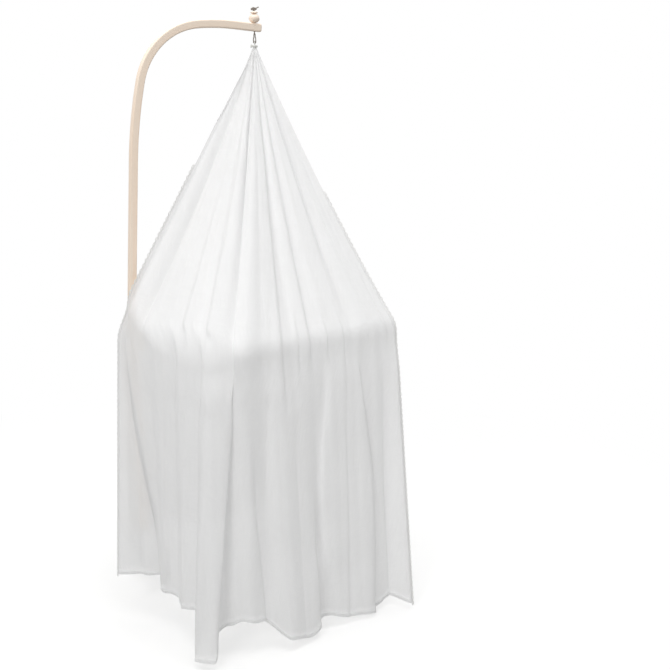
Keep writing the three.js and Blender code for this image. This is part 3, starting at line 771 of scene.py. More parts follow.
def cord_material(name, deep, pale):
    """Cotton cord: each strand is spun of fine yarns, with pale lint caught on it."""
    return fibre_material(
        name, deep, pale, fine=(3400, 3, 1), broad=(260, 2), fine_share=0.7, tones=(0.55, 1.15),
        rough=(0.7, 0.95), bump=(0.5, 0.0002), sheen=0.2)


laid_cord = laid_cord_tree()
dark_cotton = cord_material("grey-brown cotton cord", paint(118, 109, 100), paint(178, 168, 158))
cord_values = {
    "Cord Radius": cord_radius, "Lay Length": lay_length, "Strands": strand_count,
    "Sides": strand_sides, "Step": cord_step, "Finish": dark_cotton,
}
bend_centre_z = loop_bottom_z + loop_half_spread
loop_bend = []
for step in range(bend_steps + 1):
    angle = math.pi * step / bend_steps
    across = -loop_half_spread * math.cos(angle)
    loop_bend.append(across_cord(across, bend_centre_z - loop_half_spread * math.sin(angle), loop_bearing))
doubled = hanging_strand(-1) + loop_bend + hanging_strand(1)[::-1]
knot_centre = np.array((cord_x, 0, knot_z + knot_half_height))
hanger_paths = [(doubled, False), (knot_path(knot_centre, knot_radius, knot_tilt, 0), True)]
for reach, rise_share in zip(tail_reaches, tail_rise_shares):
    out = np.array((math.cos(tail_bearing), math.sin(tail_bearing), rise_share))
    out /= np.linalg.norm(out)
    hanger_paths.append(([knot_centre + out * reach * share for share in tail_point_shares], False))
bight = []
for step in range(bend_steps * 2):
    angle = math.pi * step / bend_steps
    height = knot_centre[2] + bight_radius * bight_height_share * math.sin(angle)
    bight.append(across_cord(-bight_reach + bight_radius * math.cos(angle), height, tail_bearing))
hanger_paths.append((bight, True))
knotted_hanger = grow("knotted_hanger_cord", path_carrier(hanger_paths), laid_cord, cord_values)
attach(knotted_hanger, "hanger")
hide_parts("hanger_cord")

# Neck tie
# The veil's own length of a like, pale cord: its eye hangs in the hanger's loop, two wraps draw the
# gathered cloth together, and a small knot and a short end finish it.
eye_radius = 0.0042
wrap_radius = 0.0065
wrap_pitch = 0.0027
wrap_climb_share = 0.75
tie_gap = 0.0003
tie_bow_share = 0.85
tie_knot_radius = 0.0019
tie_end_length = 0.0045
tie_end_drop = 0.0075
tie_slimness = 0.96
ring_steps = 48
eye_top_z = loop_bottom_z + cord_radius + tie_gap + 2 * cord_radius
eye_centre_z = eye_top_z - eye_radius
eye_bottom_z = eye_centre_z - eye_radius
first_wrap_z = eye_bottom_z - cord_radius
eye_bearing = loop_bearing + math.pi / 2
eye_path = []
for step in range(ring_steps):
    angle = 2 * math.pi * step / ring_steps
    height = eye_centre_z + eye_radius * math.sin(angle)
    eye_path.append(across_cord(eye_radius * math.cos(angle), height, eye_bearing))
wrap_path = []
for step in range(2 * ring_steps + 1):
    angle = 2 * math.pi * step / ring_steps
    height = first_wrap_z - wrap_pitch * (1 / 2 + step / ring_steps * wrap_climb_share)
    wrap_path.append(across_cord(wrap_radius, height, angle + loop_bearing))
tie_paths = [(eye_path, True), (wrap_path, False)]
leg = (
    (eye_radius * math.sqrt(1 / 2), eye_centre_z - eye_radius * math.sqrt(1 / 2)),
    (wrap_radius * tie_bow_share, eye_bottom_z),
    (wrap_radius, first_wrap_z - wrap_pitch),
)
for side in (-1, 1):
    tie_paths.append(([across_cord(side * across, height, eye_bearing) for across, height in leg], False))
tie_knot_place = across_cord(-wrap_radius - cord_radius, first_wrap_z - wrap_pitch, loop_bearing)
tie_paths.append((knot_path(tie_knot_place, tie_knot_radius, knot_tilt, loop_bearing), True))
tie_end = across_cord(-wrap_radius - tie_end_length, first_wrap_z - tie_end_drop, loop_bearing)
tie_paths.append(([tie_knot_place, tie_end], False))
pale_cotton = cord_material("pale cotton cord", paint(214, 214, 209), paint(241, 241, 237))
tie_values = {**cord_values, "Cord Radius": cord_radius * tie_slimness, "Finish": pale_cotton}
tied_neck_cord = grow("tied_neck_cord", path_carrier(tie_paths), laid_cord, tie_values)
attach(tied_neck_cord, "canopy")
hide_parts("neck_tie")

# Veil
# Two panels of sheer white cotton voile, cut as long gores. Their narrow ends are gathered and stitched
# into one small neck under the tie. One falls over the near side and wraps round the pole, the other
# falls over the far side, and each has a rolled hem.
neck_top_z = eye_bottom_z - cord_radius - tie_gap
neck_height = 0.011
neck_waist_radius = 0.0046
neck_flare_radius = 0.007
neck_foot_shares = (0.6, 0.96)
neck_waist_steps = (0.35, 0.7, 1)
neck_dome_share = 0.45
neck_dome_steps = 8
neck_dome_fullness = 0.7
neck_top_share = 0.12
neck_pleat_count = 22
neck_pleat_share = 0.09
neck_sides_a_pleat = 6
neck_crease_degrees = 70
neck_bottom_z = neck_top_z - neck_height
panel_top_z = neck_bottom_z - tie_gap
shoulder_side = 0.342
shoulder_z = 0.028
front_reach = 0.621
corner_reach = 0.062
far_corner_reach = 0.084
corner_radius = 0.075
corner_cut_share = 0.29
wrap_x = pole_outer_x - 0.012
hook_side = pole_width / 2 + 0.012
wrap_beyond = 0.035
wrap_tuck = 0.008
wrap_rise = 0.107
wrap_start_share = 0.82
wrap_pleat_loss_share = 0.5
wrap_calm_share = 0.55
far_back_reach = 0.020
far_back_side = 0.095
hem_z = -0.823
hem_flare = 0.100
hem_rise = 0.150
cloth_sag = 0.028
pleat_depth = 0.016
pleat_width = 0.024
pleat_swell_power = 0.6
shoulder_spread_share = 0.16
panel_crease_degrees = 80
cloth_thickness = 0.0005
hem_thickness = 0.0014
hem_width = 0.009
edge_hem_width = 0.004
trim_start = 0.48
near_hem = {
    "places": (0, 0.047, 0.12, 0.2, 0.295, 0.375, 0.437, 0.515, 0.555, 0.585, 0.607, 0.617, 0.634, 0.644,
               0.69, 0.76, 0.825, 0.853, 0.93, 1),
    "flares": (1.03, 0.48, 0.63, 0.58, 0.48, 0.77, 0.75, 0.28, 0.4, 0.5, 0.8, 0.95, 0.9, 0.6, 0.42, 0.2,
               0.02, -0.12, 0, 0.5),
    "rises": (0.07, 0.15, 0, 0.06, 0.21, 0.05, 0.15, 0.56, 0.62, 0.53, 0.38, 0.08, 0.05, 0.72, 0.7, 0.6,
              0.7, 0.93, 0.88, 0.8),
}
far_hem = {
    "places": (0, 0.07, 0.15, 0.24, 0.34, 0.43, 0.52, 0.6, 0.68, 0.74, 0.83, 0.92, 1),
    "flares": (0.8, 0.3, 0.7, 0.35, 0.75, 0.3, 0.5, 0.25, 0.45, 0.15, 0.4, 0.12, 0.3),
    "rises": (0.1, 0.25, 0.05, 0.2, 0.08, 0.3, 0.4, 0.5, 0.2, 0.7, 0.6, 0.75, 0.7),
}
near_pleats = ((0.146, 0.9), (0.29, 0.5), (0.385, 0.4), (0.56, 1), (0.68, 0.35), (0.88, 0.8))
far_pleats = ((0.18, 0.8), (0.4, 0.6), (0.57, 1), (0.8, 0.6))


def veil_plan(corner):
    """The way of a panel's shoulder from the front to just past its corner, which is cut off round."""
    cut = corner_radius * corner_cut_share
    return (
        (front_reach, shoulder_side),
        ((front_reach + corner) / 2, shoulder_side),
        (corner + corner_radius, shoulder_side),
        (corner + cut, shoulder_side - cut),
        (corner - cut, shoulder_side - corner_radius),
    )


near_plan = (
    *veil_plan(corner_reach),
    ((corner_reach + wrap_x) / 2, (shoulder_side - corner_radius / 2 + hook_side) / 2),
    (wrap_x, hook_side),
    (wrap_x, -wrap_beyond),
)
far_plan = (*veil_plan(far_corner_reach), (far_back_reach, far_back_side))

# Each fold has its places along the panel at the neck, half way down the slope, at the shoulder, half way
# to the hem and at the hem, its depth at its first and last row, its width, how far it laps, and those two
# rows, where 0 is the neck, 1 the shoulder and 2 the hem. One of positive depth stands out on the side
# towards the panel's back edge, and one of negative depth on the other side.
near_folds = (
    ((0.55, 0.556, 0.562, 0.562, 0.562), -0.0070, -0.0100, 0.034, 0.018, 0.02, 1.18),
    ((0.17, 0.168, 0.160, 0.160, 0.160), 0.0040, 0.0070, 0.026, 0.004, 0.04, 0.74),
    ((0.405, 0.410, 0.413, 0.420, 0.430), 0.0035, 0.0075, 0.034, 0.003, 0.08, 1.25),
    ((0.30, 0.310, 0.315, 0.318, 0.320), 0.0040, 0.0065, 0.026, 0.002, 0.50, 1.15),
    ((0.87, 0.878, 0.885, 0.900, 0.900), -0.0080, -0.0160, 0.026, 0.012, 0.28, 1.06),
    ((0.66, 0.660, 0.655, 0.655, 0.660), -0.0030, -0.0060, 0.020, 0.004, 0.60, 1.20),
    ((0.355, 0.355, 0.355, 0.360, 0.365), 0.0030, 0.0040, 0.012, 0, 0.84, 1.20),
    ((0.253, 0.253, 0.253, 0.255, 0.260), 0.0030, 0.0040, 0.012, 0, 0.86, 1.16),
    ((0.195, 0.195, 0.195, 0.200, 0.205), 0.0030, 0.0040, 0.012, 0, 0.86, 1.30),
    ((0.10, 0.095, 0.090, 0.090, 0.090), 0.0020, 0.0040, 0.018, 0, 0.35, 1.02),
    ((0.75, 0.750, 0.750, 0.760, 0.770), -0.0020, -0.0040, 0.020, 0, 0.45, 1.30),
    ((0.04, 0.038, 0.036, 0.040, 0.040), 0.0030, 0.0055, 0.012, 0, 0.70, 1.10),
    ((0.562, 0.562, 0.562, 0.590, 0.606), 0.0060, 0.0200, 0.030, 0.030, 1.02, 2.0),
    ((0.655, 0.655, 0.655, 0.651, 0.639), -0.0060, -0.0160, 0.022, 0.026, 1.02, 2.0),
    ((0.235, 0.235, 0.240, 0.289, 0.262), -0.0060, -0.0180, 0.050, 0.002, 1.03, 1.84),
    ((0.325, 0.325, 0.325, 0.326, 0.325), 0.0050, 0.0160, 0.036, 0.006, 1.52, 2.0),
    ((0.155, 0.155, 0.155, 0.108, 0.118), 0.0040, 0.0190, 0.040, 0.024, 1.03, 2.0),
    ((0.500, 0.500, 0.505, 0.520, 0.500), 0.0020, 0.0060, 0.022, 0.004, 1.30, 2.0),
    ((0.445, 0.445, 0.445, 0.450, 0.440), 0.0020, 0.0040, 0.026, 0, 1.20, 2.0),
    ((0.375, 0.375, 0.375, 0.380, 0.385), -0.0020, -0.0050, 0.026, 0, 1.25, 2.0),
    ((0.205, 0.205, 0.205, 0.205, 0.215), 0.0020, 0.0050, 0.024, 0.002, 1.15, 2.0),
    ((0.930, 0.950, 0.972, 0.913, 0.843), -0.0060, -0.0190, 0.026, 0.034, 1.08, 2.0),
    ((0.800, 0.800, 0.800, 0.815, 0.822), 0.0030, 0.0080, 0.028, 0.001, 1.10, 2.0),
    ((0.710, 0.710, 0.710, 0.720, 0.735), 0.0020, 0.0060, 0.026, 0, 1.10, 2.0),
    ((0.765, 0.765, 0.765, 0.765, 0.780), -0.0030, -0.0060, 0.020, 0, 1.10, 2.0),
    ((0.055, 0.055, 0.055, 0.060, 0.050), 0.0020, 0.0050, 0.018, 0, 1.10, 2.0),
    ((0.955, 0.955, 0.955, 0.945, 0.945), 0.0050, 0.0040, 0.008, 0.004, 1.01, 1.20),
    ((0.925, 0.925, 0.930, 0.910, 0.910), -0.0050, -0.0030, 0.009, 0.004, 1.02, 1.26),
)
far_folds = (
    ((0.20, 0.205, 0.210, 0.210, 0.210), 0.0040, 0.0090, 0.028, 0.005, 0.05, 1.05),
    ((0.34, 0.330, 0.320, 0.320, 0.320), -0.0030, -0.0060, 0.022, 0.002, 0.30, 1.15),
    ((0.48, 0.490, 0.500, 0.500, 0.500), 0.0040, 0.0080, 0.026, 0.004, 0.05, 1.05),
    ((0.66, 0.655, 0.650, 0.650, 0.650), -0.0030, -0.0080, 0.022, 0.004, 0.20, 1.10),
    ((0.86, 0.870, 0.880, 0.880, 0.880), 0.0020, 0.0040, 0.018, 0, 0.40, 1.00),
    ((0.10, 0.090, 0.080, 0.080, 0.080), 0.0020, 0.0050, 0.018, 0, 0.45, 1.10),
    ((0.12, 0.120, 0.120, 0.130, 0.115), 0.0040, 0.0110, 0.028, 0.018, 1.02, 2.0),
    ((0.21, 0.210, 0.210, 0.200, 0.195), -0.0030, -0.0080, 0.022, 0.006, 1.02, 2.0),
    ((0.32, 0.320, 0.320, 0.300, 0.290), 0.0040, 0.0120, 0.028, 0.022, 1.02, 2.0),
    ((0.40, 0.400, 0.400, 0.410, 0.385), -0.0030, -0.0060, 0.022, 0.004, 1.05, 2.0),
    ((0.50, 0.500, 0.500, 0.480, 0.475), 0.0040, 0.0100, 0.026, 0.014, 1.02, 2.0),
    ((0.58, 0.580, 0.580, 0.590, 0.560), -0.0030, -0.0070, 0.020, 0.006, 1.05, 2.0),
    ((0.65, 0.650, 0.650, 0.650, 0.640), 0.0040, 0.0110, 0.022, 0.020, 1.02, 2.0),
    ((0.78, 0.780, 0.780, 0.790, 0.780), -0.0030, -0.0060, 0.020, 0.004, 1.05, 2.0),
    ((0.88, 0.880, 0.880, 0.890, 0.880), 0.0030, 0.0060, 0.018, 0.004, 1.05, 2.0),
)
last_spot = 3.9999
fold_fade = 0.14
fold_sharpness = 3.4
fold_neck_width_share = 0.35
stand_out_share = 0.5
lap_fade = 0.3
lap_sharpness = 2.3
least_girth = 0.05
crowding_base = 0.8
crowding_by_lap = 4
crowded_lap = 0.02
crowding_spread = 1.6
waves = {"sines": (4, 5, 11), "slope": 0.0014, "drop": 0.0045}
ripples = {"sines": (4, 16, 30), "depth": 0.0006, "rows": (0.1, 0.5)}
gathers = {"sines": (3, 20, 30), "depth": 0.0004, "growth": 0.004, "fade": 0.14, "last_row": 0.5}
lift_at_neck = 0.2
lift_growth = 2
base_steps = 1600
line_steps = 80
edge_roll_radius = 0.0026
edge_roll_cloth = 0.012
edge_roll_end = 0.36
edge_roll_fades = (0.04, 0.12)
edge_roll_most_share = 0.3
shoulder_bend_share = 0.032
back_bend_share = 0.075
back_spans = ((0.5, 0.7), (0.8, 0.9))
panel_columns = 312


def cubic(start, end, leave, arrive, share):
    """A smooth way from a start to an end, with its direction at both."""
    bend_two = -3 * start + 3 * end - 2 * leave - arrive
    bend_three = 2 * start - 2 * end + leave + arrive
    return start + leave * share + bend_two * share ** 2 + bend_three * share ** 3


def even_line(points, places):
    """A smooth line through the plan's points, read at even shares of its length."""
    knots = np.array(points)
    knots = np.vstack((2 * knots[0] - knots[1], knots, 2 * knots[-1] - knots[-2]))
    pieces = []
    steps = np.linspace(0, 1, line_steps, endpoint=False)[:, None]
    for k in range(1, len(knots) - 2):
        before, start, end, after = knots[k - 1:k + 3]
        spans = ((before, start), (start, end), (end, after))
        first, middle, last = (np.linalg.norm(q - p) ** 0.5 for p, q in spans)
        direct = (end - start) / middle
        leave = ((start - before) / first - (end - before) / (first + middle) + direct) * middle
        arrive = (direct - (after - start) / (middle + last) + (after - end) / last) * middle
        pieces.append(cubic(start, end, leave, arrive, steps))
    pieces.append(knots[-2][None])
    dense = np.vstack(pieces)
    run = np.concatenate(([0], np.cumsum(np.linalg.norm(np.diff(dense, axis=0), axis=1))))
    asked = places * run[-1]
    return np.column_stack((np.interp(asked, run, dense[:, 0]), np.interp(asked, run, dense[:, 1]))), run[-1]


def from_table(places, entries, asked):
    """Eases between a table's entries."""
    places, entries = np.array(places), np.array(entries)
    k = np.clip(np.searchsorted(places, asked, side="left") - 1, 0, len(places) - 2)
    return entries[k] + (entries[k + 1] - entries[k]) * eased(places[k], places[k + 1], asked)


def ripple(seed, count, low, high, asked):
    """A soft irregular wave: a few sines of near wavelengths, with fixed phases."""
    chance = np.random.RandomState(seed)
    total = np.zeros_like(asked)
    for _ in range(count):
        turns = chance.uniform(low, high)
        phase = chance.uniform(0, 2 * math.pi)
        total += np.sin(2 * math.pi * turns * asked + phase)
    return total / math.sqrt(count)


def fold_place(stations, row):
    """Where a fold runs at a row: a smooth line through its five places."""
    spans = len(stations) - 1
    spot = min(row / 2 * spans, last_spot)
    k = int(spot)
    before, start, end, after = (stations[min(max(k + n, 0), spans)] for n in (-1, 0, 1, 2))
    return cubic(start, end, (end - before) / 2, (after - start) / 2, spot - k)


def folds_at(folds, row, girth):
    """The folds that show at a row, each with its place, depth, lap, width and how much of it shows."""
    found = []
    for stations, first_depth, last_depth, width, lap, first, last in folds:
        leave = 1.0 if last >= 2 else 1 - float(eased(last - fold_fade, last, row))
        shown = float(eased(first, first + fold_fade, row)) * leave
        if shown == 0:
            continue
        share = (row - first) / (last - first)
        depth = (first_depth + (last_depth - first_depth) * share) * shown
        lapped = lap * shown * float(eased(first, first + lap_fade, row))
        local_width = width * (fold_neck_width_share + (1 - fold_neck_width_share) * girth)
        found.append((fold_place(stations, row), depth, lapped, local_width, shown))
    return found


def panel_way(plan, wraps):
    """A panel's length and, along it, its contour, shoulder line, wrap and directions."""
    base = np.linspace(0, 1, base_steps)
    line, length = even_line(plan, base)
    along = np.gradient(line, axis=0)
    along /= np.linalg.norm(along, axis=1)[:, None]
    out = np.column_stack((-along[:, 1], along[:, 0]))
    out *= np.sign(np.sum(out * (line - (cord_x, 0)), axis=1))[:, None]
    wrap = eased(wrap_start_share, 1, base) if wraps else np.zeros(base_steps)
    shoulder = np.column_stack((line, np.full(base_steps, shoulder_z) + wrap_rise * wrap))
    if wraps:
        shoulder[:, 1] = np.maximum(shoulder[:, 1], hook_side)
        shoulder[:, 0] += wrap_tuck * wrap
    bearing = shoulder[:, :2] - (cord_x, 0)
    bearing /= np.linalg.norm(bearing, axis=1)[:, None]
    level = np.zeros(base_steps)
    return length, {
        "line": line, "shoulder": shoulder, "bearing": bearing, "wrap": wrap[:, None],
        "out": np.column_stack((out, level)), "along": np.column_stack((along, level)),
    }


def way_at(way, places):
    """What the way holds at places along it."""
    base = np.linspace(0, 1, base_steps)
    return {
        name: np.column_stack([np.interp(places, base, column) for column in values.T])
        for name, values in way.items()
    }


def crowded_places(shown_folds, length, girth, edges):
    """The columns' places across the cloth, closer together where it folds and laps."""
    fine_places = np.linspace(edges[-1], 1 - edges[-1], base_steps)
    crowding = np.ones(base_steps)
    for place, _, lapped, width, shown in shown_folds:
        away = (fine_places - place) * length * girth / width
        crowded = crowding_base + crowding_by_lap * min(lapped / crowded_lap, 1)
        crowding += crowded * shown * np.exp(-(away * crowding_spread) ** 2)
    run = np.concatenate(([0], np.cumsum((crowding[1:] + crowding[:-1]) / 2)))
    inner = np.interp(np.linspace(0, run[-1], panel_columns), run, fine_places)
    return np.concatenate((edges[:-1], inner, 1 - np.array(edges[-2::-1])))


def lift_and_shift(cloth, row, seed, shown_folds, length, girth):
    """How far the cloth stands off its way at a row, and how far its laps carry it along."""
    wave_depth = waves["slope"] * girth + waves["drop"] * max(row - 1, 0)
    lift = ripple(seed + 2, *waves["sines"], cloth) * wave_depth
    ripples_shown = float(eased(*ripples["rows"], row))
    lift += ripple(seed + 1, *ripples["sines"], cloth) * ripples["depth"] * ripples_shown
    if row < gathers["last_row"]:
        gather_depth = gathers["depth"] + gathers["growth"] * row
        gathers_shown = math.exp(-(row / gathers["fade"]) ** 2)
        lift += ripple(seed, *gathers["sines"], cloth) * gather_depth * gathers_shown
    shift = np.zeros(len(cloth))
    for place, depth, lapped, width, _ in shown_folds:
        away = (cloth - place) * length * girth / width
        outer_share = np.where(away * depth < 0, 1, stand_out_share)
        lift += depth * np.tanh(away * fold_sharpness) * np.exp(-np.abs(away)) * outer_share
        turned = away * lap_sharpness
        shift -= lapped * turned * np.exp(-turned ** 2)
    return lift, shift


def roll_at(row):
    """How much of the back edge's roll shows at a row: it comes at the neck and goes down the slope."""
    if not 0 < row < edge_roll_end:
        return 0
    come, leave = edge_roll_fades
    return float(eased(0, come, row)) * (1 - float(eased(edge_roll_end - leave, edge_roll_end, row)))


def slope_points(here, wrap, row, lift, places, pleats, length):
    """A row's points between the neck and the shoulder."""
    start = np.column_stack((neck_flare_radius * here["bearing"], np.full(len(places), panel_top_z)))
    start[:, 0] += cord_x
    swell = 4 * row * (1 - row)
    points = start + (here["shoulder"] - start) * row
    points[:, 2] -= cloth_sag * swell * (1 - wrap)
    inward = np.zeros(len(places))
    for middle, depth_share in pleats:
        inward += pleat_depth * depth_share * np.exp(-((places - middle) * length / pleat_width) ** 2)
    inward *= swell ** pleat_swell_power * (1 - wrap_pleat_loss_share * wrap)
    return points + here["out"] * (lift * min(1, lift_at_neck + lift_growth * row) - inward)[:, None]


def drop_points(here, drop, lift, cloth, hem):
    """A row's points between the shoulder and the hem."""
    flare = hem_flare * from_table(hem["places"], hem["flares"], cloth)
    foot_z = hem_z + hem_rise * from_table(hem["places"], hem["rises"], cloth)
    line, shoulder = here["line"], here["shoulder"]
    foot = line + here["out"][:, :2] * flare[:, None]
    plumb = line + (foot - line) * drop
    points = shoulder.copy()
    points[:, :2] += (plumb - shoulder[:, :2]) * float(eased(0, shoulder_spread_share, drop))
    points[:, 2] = shoulder[:, 2] + (foot_z - shoulder[:, 2]) * drop
    return points + here["out"] * lift[:, None]


def soften_shoulder(grid, rows):
    """Rounds a panel's bend at the shoulder, more so where it turns to the back."""
    for k, column in enumerate(grid):
        across = k / len(grid)
        at_back = float(eased(*back_spans[0], across)) * (1 - float(eased(*back_spans[1], across)))
        reach = shoulder_bend_share + (back_bend_share - shoulder_bend_share) * at_back
        spots = (1 - reach, 1, 1 + reach)
        knee = np.column_stack([np.interp(spots, rows, column[:, axis]) for axis in range(3)])
        bend = np.abs(rows - 1) < reach
        turn = ((rows[bend] - 1) / reach + 1)[:, None] / 2
        column[bend] = (1 - turn) ** 2 * knee[0] + 2 * turn * (1 - turn) * knee[1] + turn ** 2 * knee[2]


def hang_panel(plan, wraps, hem, pleats, folds, seed, edges, rows):
    """The hung panel as a grid of points: columns across it by rows down it, drawn on the positive side."""
    length, way = panel_way(plan, wraps)
    grid = np.zeros((panel_columns + 2 * len(edges) - 2, len(rows), 3))
    for j, row in enumerate(rows):
        girth = min(max(row, least_girth), 1)
        shown_folds = folds_at(folds, row, girth)
        cloth = crowded_places(shown_folds, length, girth, edges)
        lift, shift = lift_and_shift(cloth, row, seed, shown_folds, length, girth)
        places = np.clip(cloth + shift / (length * girth), 0, 1)
        wrap = way_at(way, places)["wrap"][:, 0]
        lift *= 1 - wrap_calm_share * wrap
        rolling = roll_at(row) if wraps else 0
        if rolling:
            rolled_share = min(edge_roll_cloth * rolling / (length * girth), edge_roll_most_share)
            kept_share = edge_roll_radius * rolling / (length * girth)
            rolled = np.clip((cloth - 1 + rolled_share) / rolled_share, 0, 1)
            turn = rolled * edge_roll_cloth / edge_roll_radius * rolling
            places = np.minimum(places / (1 - rolled_share), 1) * (1 - kept_share)
        here = way_at(way, places)
        if row <= 1:
            points = slope_points(here, wrap, row, lift, places, pleats, length)
        else:
            points = drop_points(here, row - 1, lift, cloth, hem)
        if rolling:
            points += here["along"] * (edge_roll_radius * np.sin(turn) * rolling)[:, None]
            points -= here["out"] * (edge_roll_radius * (1 - np.cos(turn)) * rolling)[:, None]
        grid[:, j] = points
    soften_shoulder(grid, rows)
    return grid


def grid_normals(grid):
    """The surface's direction at each point of a grid."""
    normal = np.cross(np.gradient(grid, axis=0), np.gradient(grid, axis=1))
    return normal / np.maximum(np.linalg.norm(normal, axis=2), 1e-12)[:, :, None]


def cloth_shell(name, grid, thickness):
    """A closed sheet about a grid of points, with the cut cloth's own flat coordinates as its UV map."""
    columns, rows = grid.shape[:2]
    half = grid_normals(grid) * thickness[:, :, None] / 2
    vertices = np.concatenate(((grid + half).reshape(-1, 3), (grid - half).reshape(-1, 3)))
    index = np.arange(columns * rows).reshape(columns, rows)
    back = index + columns * rows
    a, b, c, d = index[:-1, :-1], index[1:, :-1], index[1:, 1:], index[:-1, 1:]
    front_faces = np.stack((a, b, c, d), axis=-1).reshape(-1, 4)
    back_faces = np.stack((a, d, c, b), axis=-1).reshape(-1, 4) + columns * rows
    rims = []
    for edge, other in (
        (index[:, 0], back[:, 0]), (index[::-1, -1], back[::-1, -1]),
        (index[0, ::-1], back[0, ::-1]), (index[-1, :], back[-1, :]),
    ):
        rims.append(np.stack((edge[:-1], other[:-1], other[1:], edge[1:]), axis=-1))
    faces = np.concatenate([front_faces, back_faces] + rims)
    piece = closed_piece(name, vertices, faces.tolist(), panel_crease_degrees)
    widths = np.linalg.norm(np.diff(grid, axis=0), axis=2)
    across = np.concatenate((np.zeros((1, rows)), np.cumsum(widths, axis=0)))
    across -= across[-1] / 2
    lengths = np.linalg.norm(np.diff(grid, axis=1), axis=2)
    down = np.concatenate((np.zeros((columns, 1)), np.cumsum(lengths, axis=1)), axis=1)
    flat = np.tile(np.stack((across, down), axis=-1).reshape(-1, 2), (2, 1))
    layer = piece.data.uv_layers.new(name="cut cloth")
    corners = np.zeros(len(piece.data.loops), dtype=np.int32)
    piece.data.loops.foreach_get("vertex_index", corners)
    layer.data.foreach_set("uv", flat[corners].ravel())
    doubled_cloth = piece.data.attributes.new("doubled", "FLOAT", "POINT")
    share = np.clip((thickness - cloth_thickness) / (hem_thickness - cloth_thickness), 0, 1).ravel()
    doubled_cloth.data.foreach_set("value", np.tile(share, 2))
    return piece


def weave_group():
    """Plain weave read from flat cloth coordinates: how much yarn covers a spot, and its slubs."""
    group = bpy.data.node_groups.new("plain weave", "ShaderNodeTree")
    given, kept = group_ends(
        group, {"Flat": "Vector", "Yarns Per Metre": "Float"}, {"Cover": "Float", "Slub": "Float"})
    parts = node(group, "ShaderNodeSeparateXYZ", {0: given["Flat"]}).outputs
    threads = []
    for axis in ("X", "Y"):
        turns = maths(group, "MULTIPLY", parts[axis], given["Yarns Per Metre"])
        threads.append(maths(group, "SINE", maths(group, "MULTIPLY", turns, 2 * math.pi)))
    slubs = [noise(group, given["Flat"], scale, detail=2) for scale in ((900, 14, 1), (16, 800, 1))]
    feed(group, kept, {
        "Cover": ranged(group, maths(group, "MAXIMUM", *threads), -1, 1),
        "Slub": ranged(group, maths(group, "MULTIPLY", *slubs), 0.12, 0.42),
    })
    return group


def shaders_mixed(tree, share, first, second):
    """A shader between two, by a share."""
    return node(tree, "ShaderNodeMixShader", {0: share, 1: first.outputs[0], 2: second.outputs[0]}).outputs[0]


def let_through(tree, shader, end, share, **inputs):
    """Lets a share of the light through a material."""
    through = node(tree, "ShaderNodeBsdfTranslucent", inputs)
    feed(tree, end, {"Surface": shaders_mixed(tree, share, shader, through)})


plain_weave = weave_group()


def voile_material():
    """Sheer white voile: a fine open weave that lets a little light and sight through, softly crumpled."""
    material, tree, shader, end = new_material("white voile")
    flat = node(tree, "ShaderNodeUVMap", uv_map="cut cloth").outputs[0]
    weave_inputs = {"Flat": flat, "Yarns Per Metre": 1400}
    weave = node(tree, "ShaderNodeGroup", weave_inputs, node_tree=plain_weave).outputs
    doubled_share = node(tree, "ShaderNodeAttribute", attribute_name="doubled").outputs["Fac"]
    open_alpha = ranged(tree, weave["Cover"], to_low=0.42, to_high=0.68)
    slub_alpha = maths(tree, "MULTIPLY_ADD", weave["Slub"], 0.08, open_alpha)
    alpha = node(tree, "ShaderNodeMath", {
        0: doubled_share, 1: 0.3, 2: slub_alpha}, operation="MULTIPLY_ADD", use_clamp=True).outputs[0]
    clouds = noise(tree, flat, scale=(9, 5, 1), detail=3)
    colour = blend(tree, clouds, paint(247, 247, 247), paint(252, 252, 252))
    creases = noise(tree, flat, scale=(70, 16, 1), detail=4, distortion=0.8)
    crumple = bumped(tree, creases, strength=0.5, distance=0.0022)
    threads = bumped(tree, weave["Cover"], strength=0.2, distance=0.0001, Normal=crumple)
    feed(tree, shader, {
        "Base Color": colour, "Alpha": alpha, "Normal": threads, "Sheen Weight": 0.15,
        "Roughness": ranged(tree, weave["Slub"], to_low=0.8, to_high=0.95),
    })
    let_through(tree, shader, end, share=0.25, Color=colour, Normal=threads)
    return material


def neck_cloth_material():
    """The same voile pressed into many layers, so it is opaque; fine yarns read from its place."""
    material, tree, shader, _ = new_material("gathered voile")
    yarns = noise(tree, object_place(tree), scale=2400, detail=2)
    feed(tree, shader, {
        "Base Color": blend(tree, yarns, paint(232, 232, 230), paint(250, 250, 249)),
        "Roughness": ranged(tree, yarns, to_low=0.8, to_high=0.95),
        "Normal": bumped(tree, yarns, strength=0.4, distance=0.0002),
        "Sheen Weight": 0.15,
    })
    return material


neck_sides = neck_pleat_count * neck_sides_a_pleat
dome_height = neck_height * neck_dome_share
waist_z = (neck_height - dome_height) / 2
neck_profile = [(neck_flare_radius * share, 0) for share in neck_foot_shares]
neck_profile.append((neck_flare_radius, tie_gap))
for share in neck_waist_steps:
    radius = neck_flare_radius + (neck_waist_radius - neck_flare_radius) * float(eased(0, 1, share))
    neck_profile.append((radius, tie_gap + (waist_z - tie_gap) * share))
for step in range(neck_dome_steps):
    angle = math.pi / 2 * step / neck_dome_steps
    rise = neck_height - dome_height + dome_height * math.sin(angle)
    neck_profile.append((neck_waist_radius * math.cos(angle) ** neck_dome_fullness, rise))
neck_profile.append((neck_waist_radius * neck_top_share, neck_height))
turns = np.arange(neck_sides) * 2 * math.pi / neck_sides
neck_rings = []
for radius, rise in neck_profile:
    pleats = 1 - neck_pleat_share * (1 / 2 + np.cos(turns * neck_pleat_count + rise / neck_height) / 2)
    reach = radius * pleats
    neck_rings.append(np.column_stack((
        cord_x + reach * np.cos(turns), reach * np.sin(turns), np.full(neck_sides, neck_bottom_z + rise))))
stitched_neck = skinned("stitched_neck", neck_rings, neck_crease_degrees)
stitched_neck.data.materials.append(neck_cloth_material())
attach(stitched_neck, "canopy")
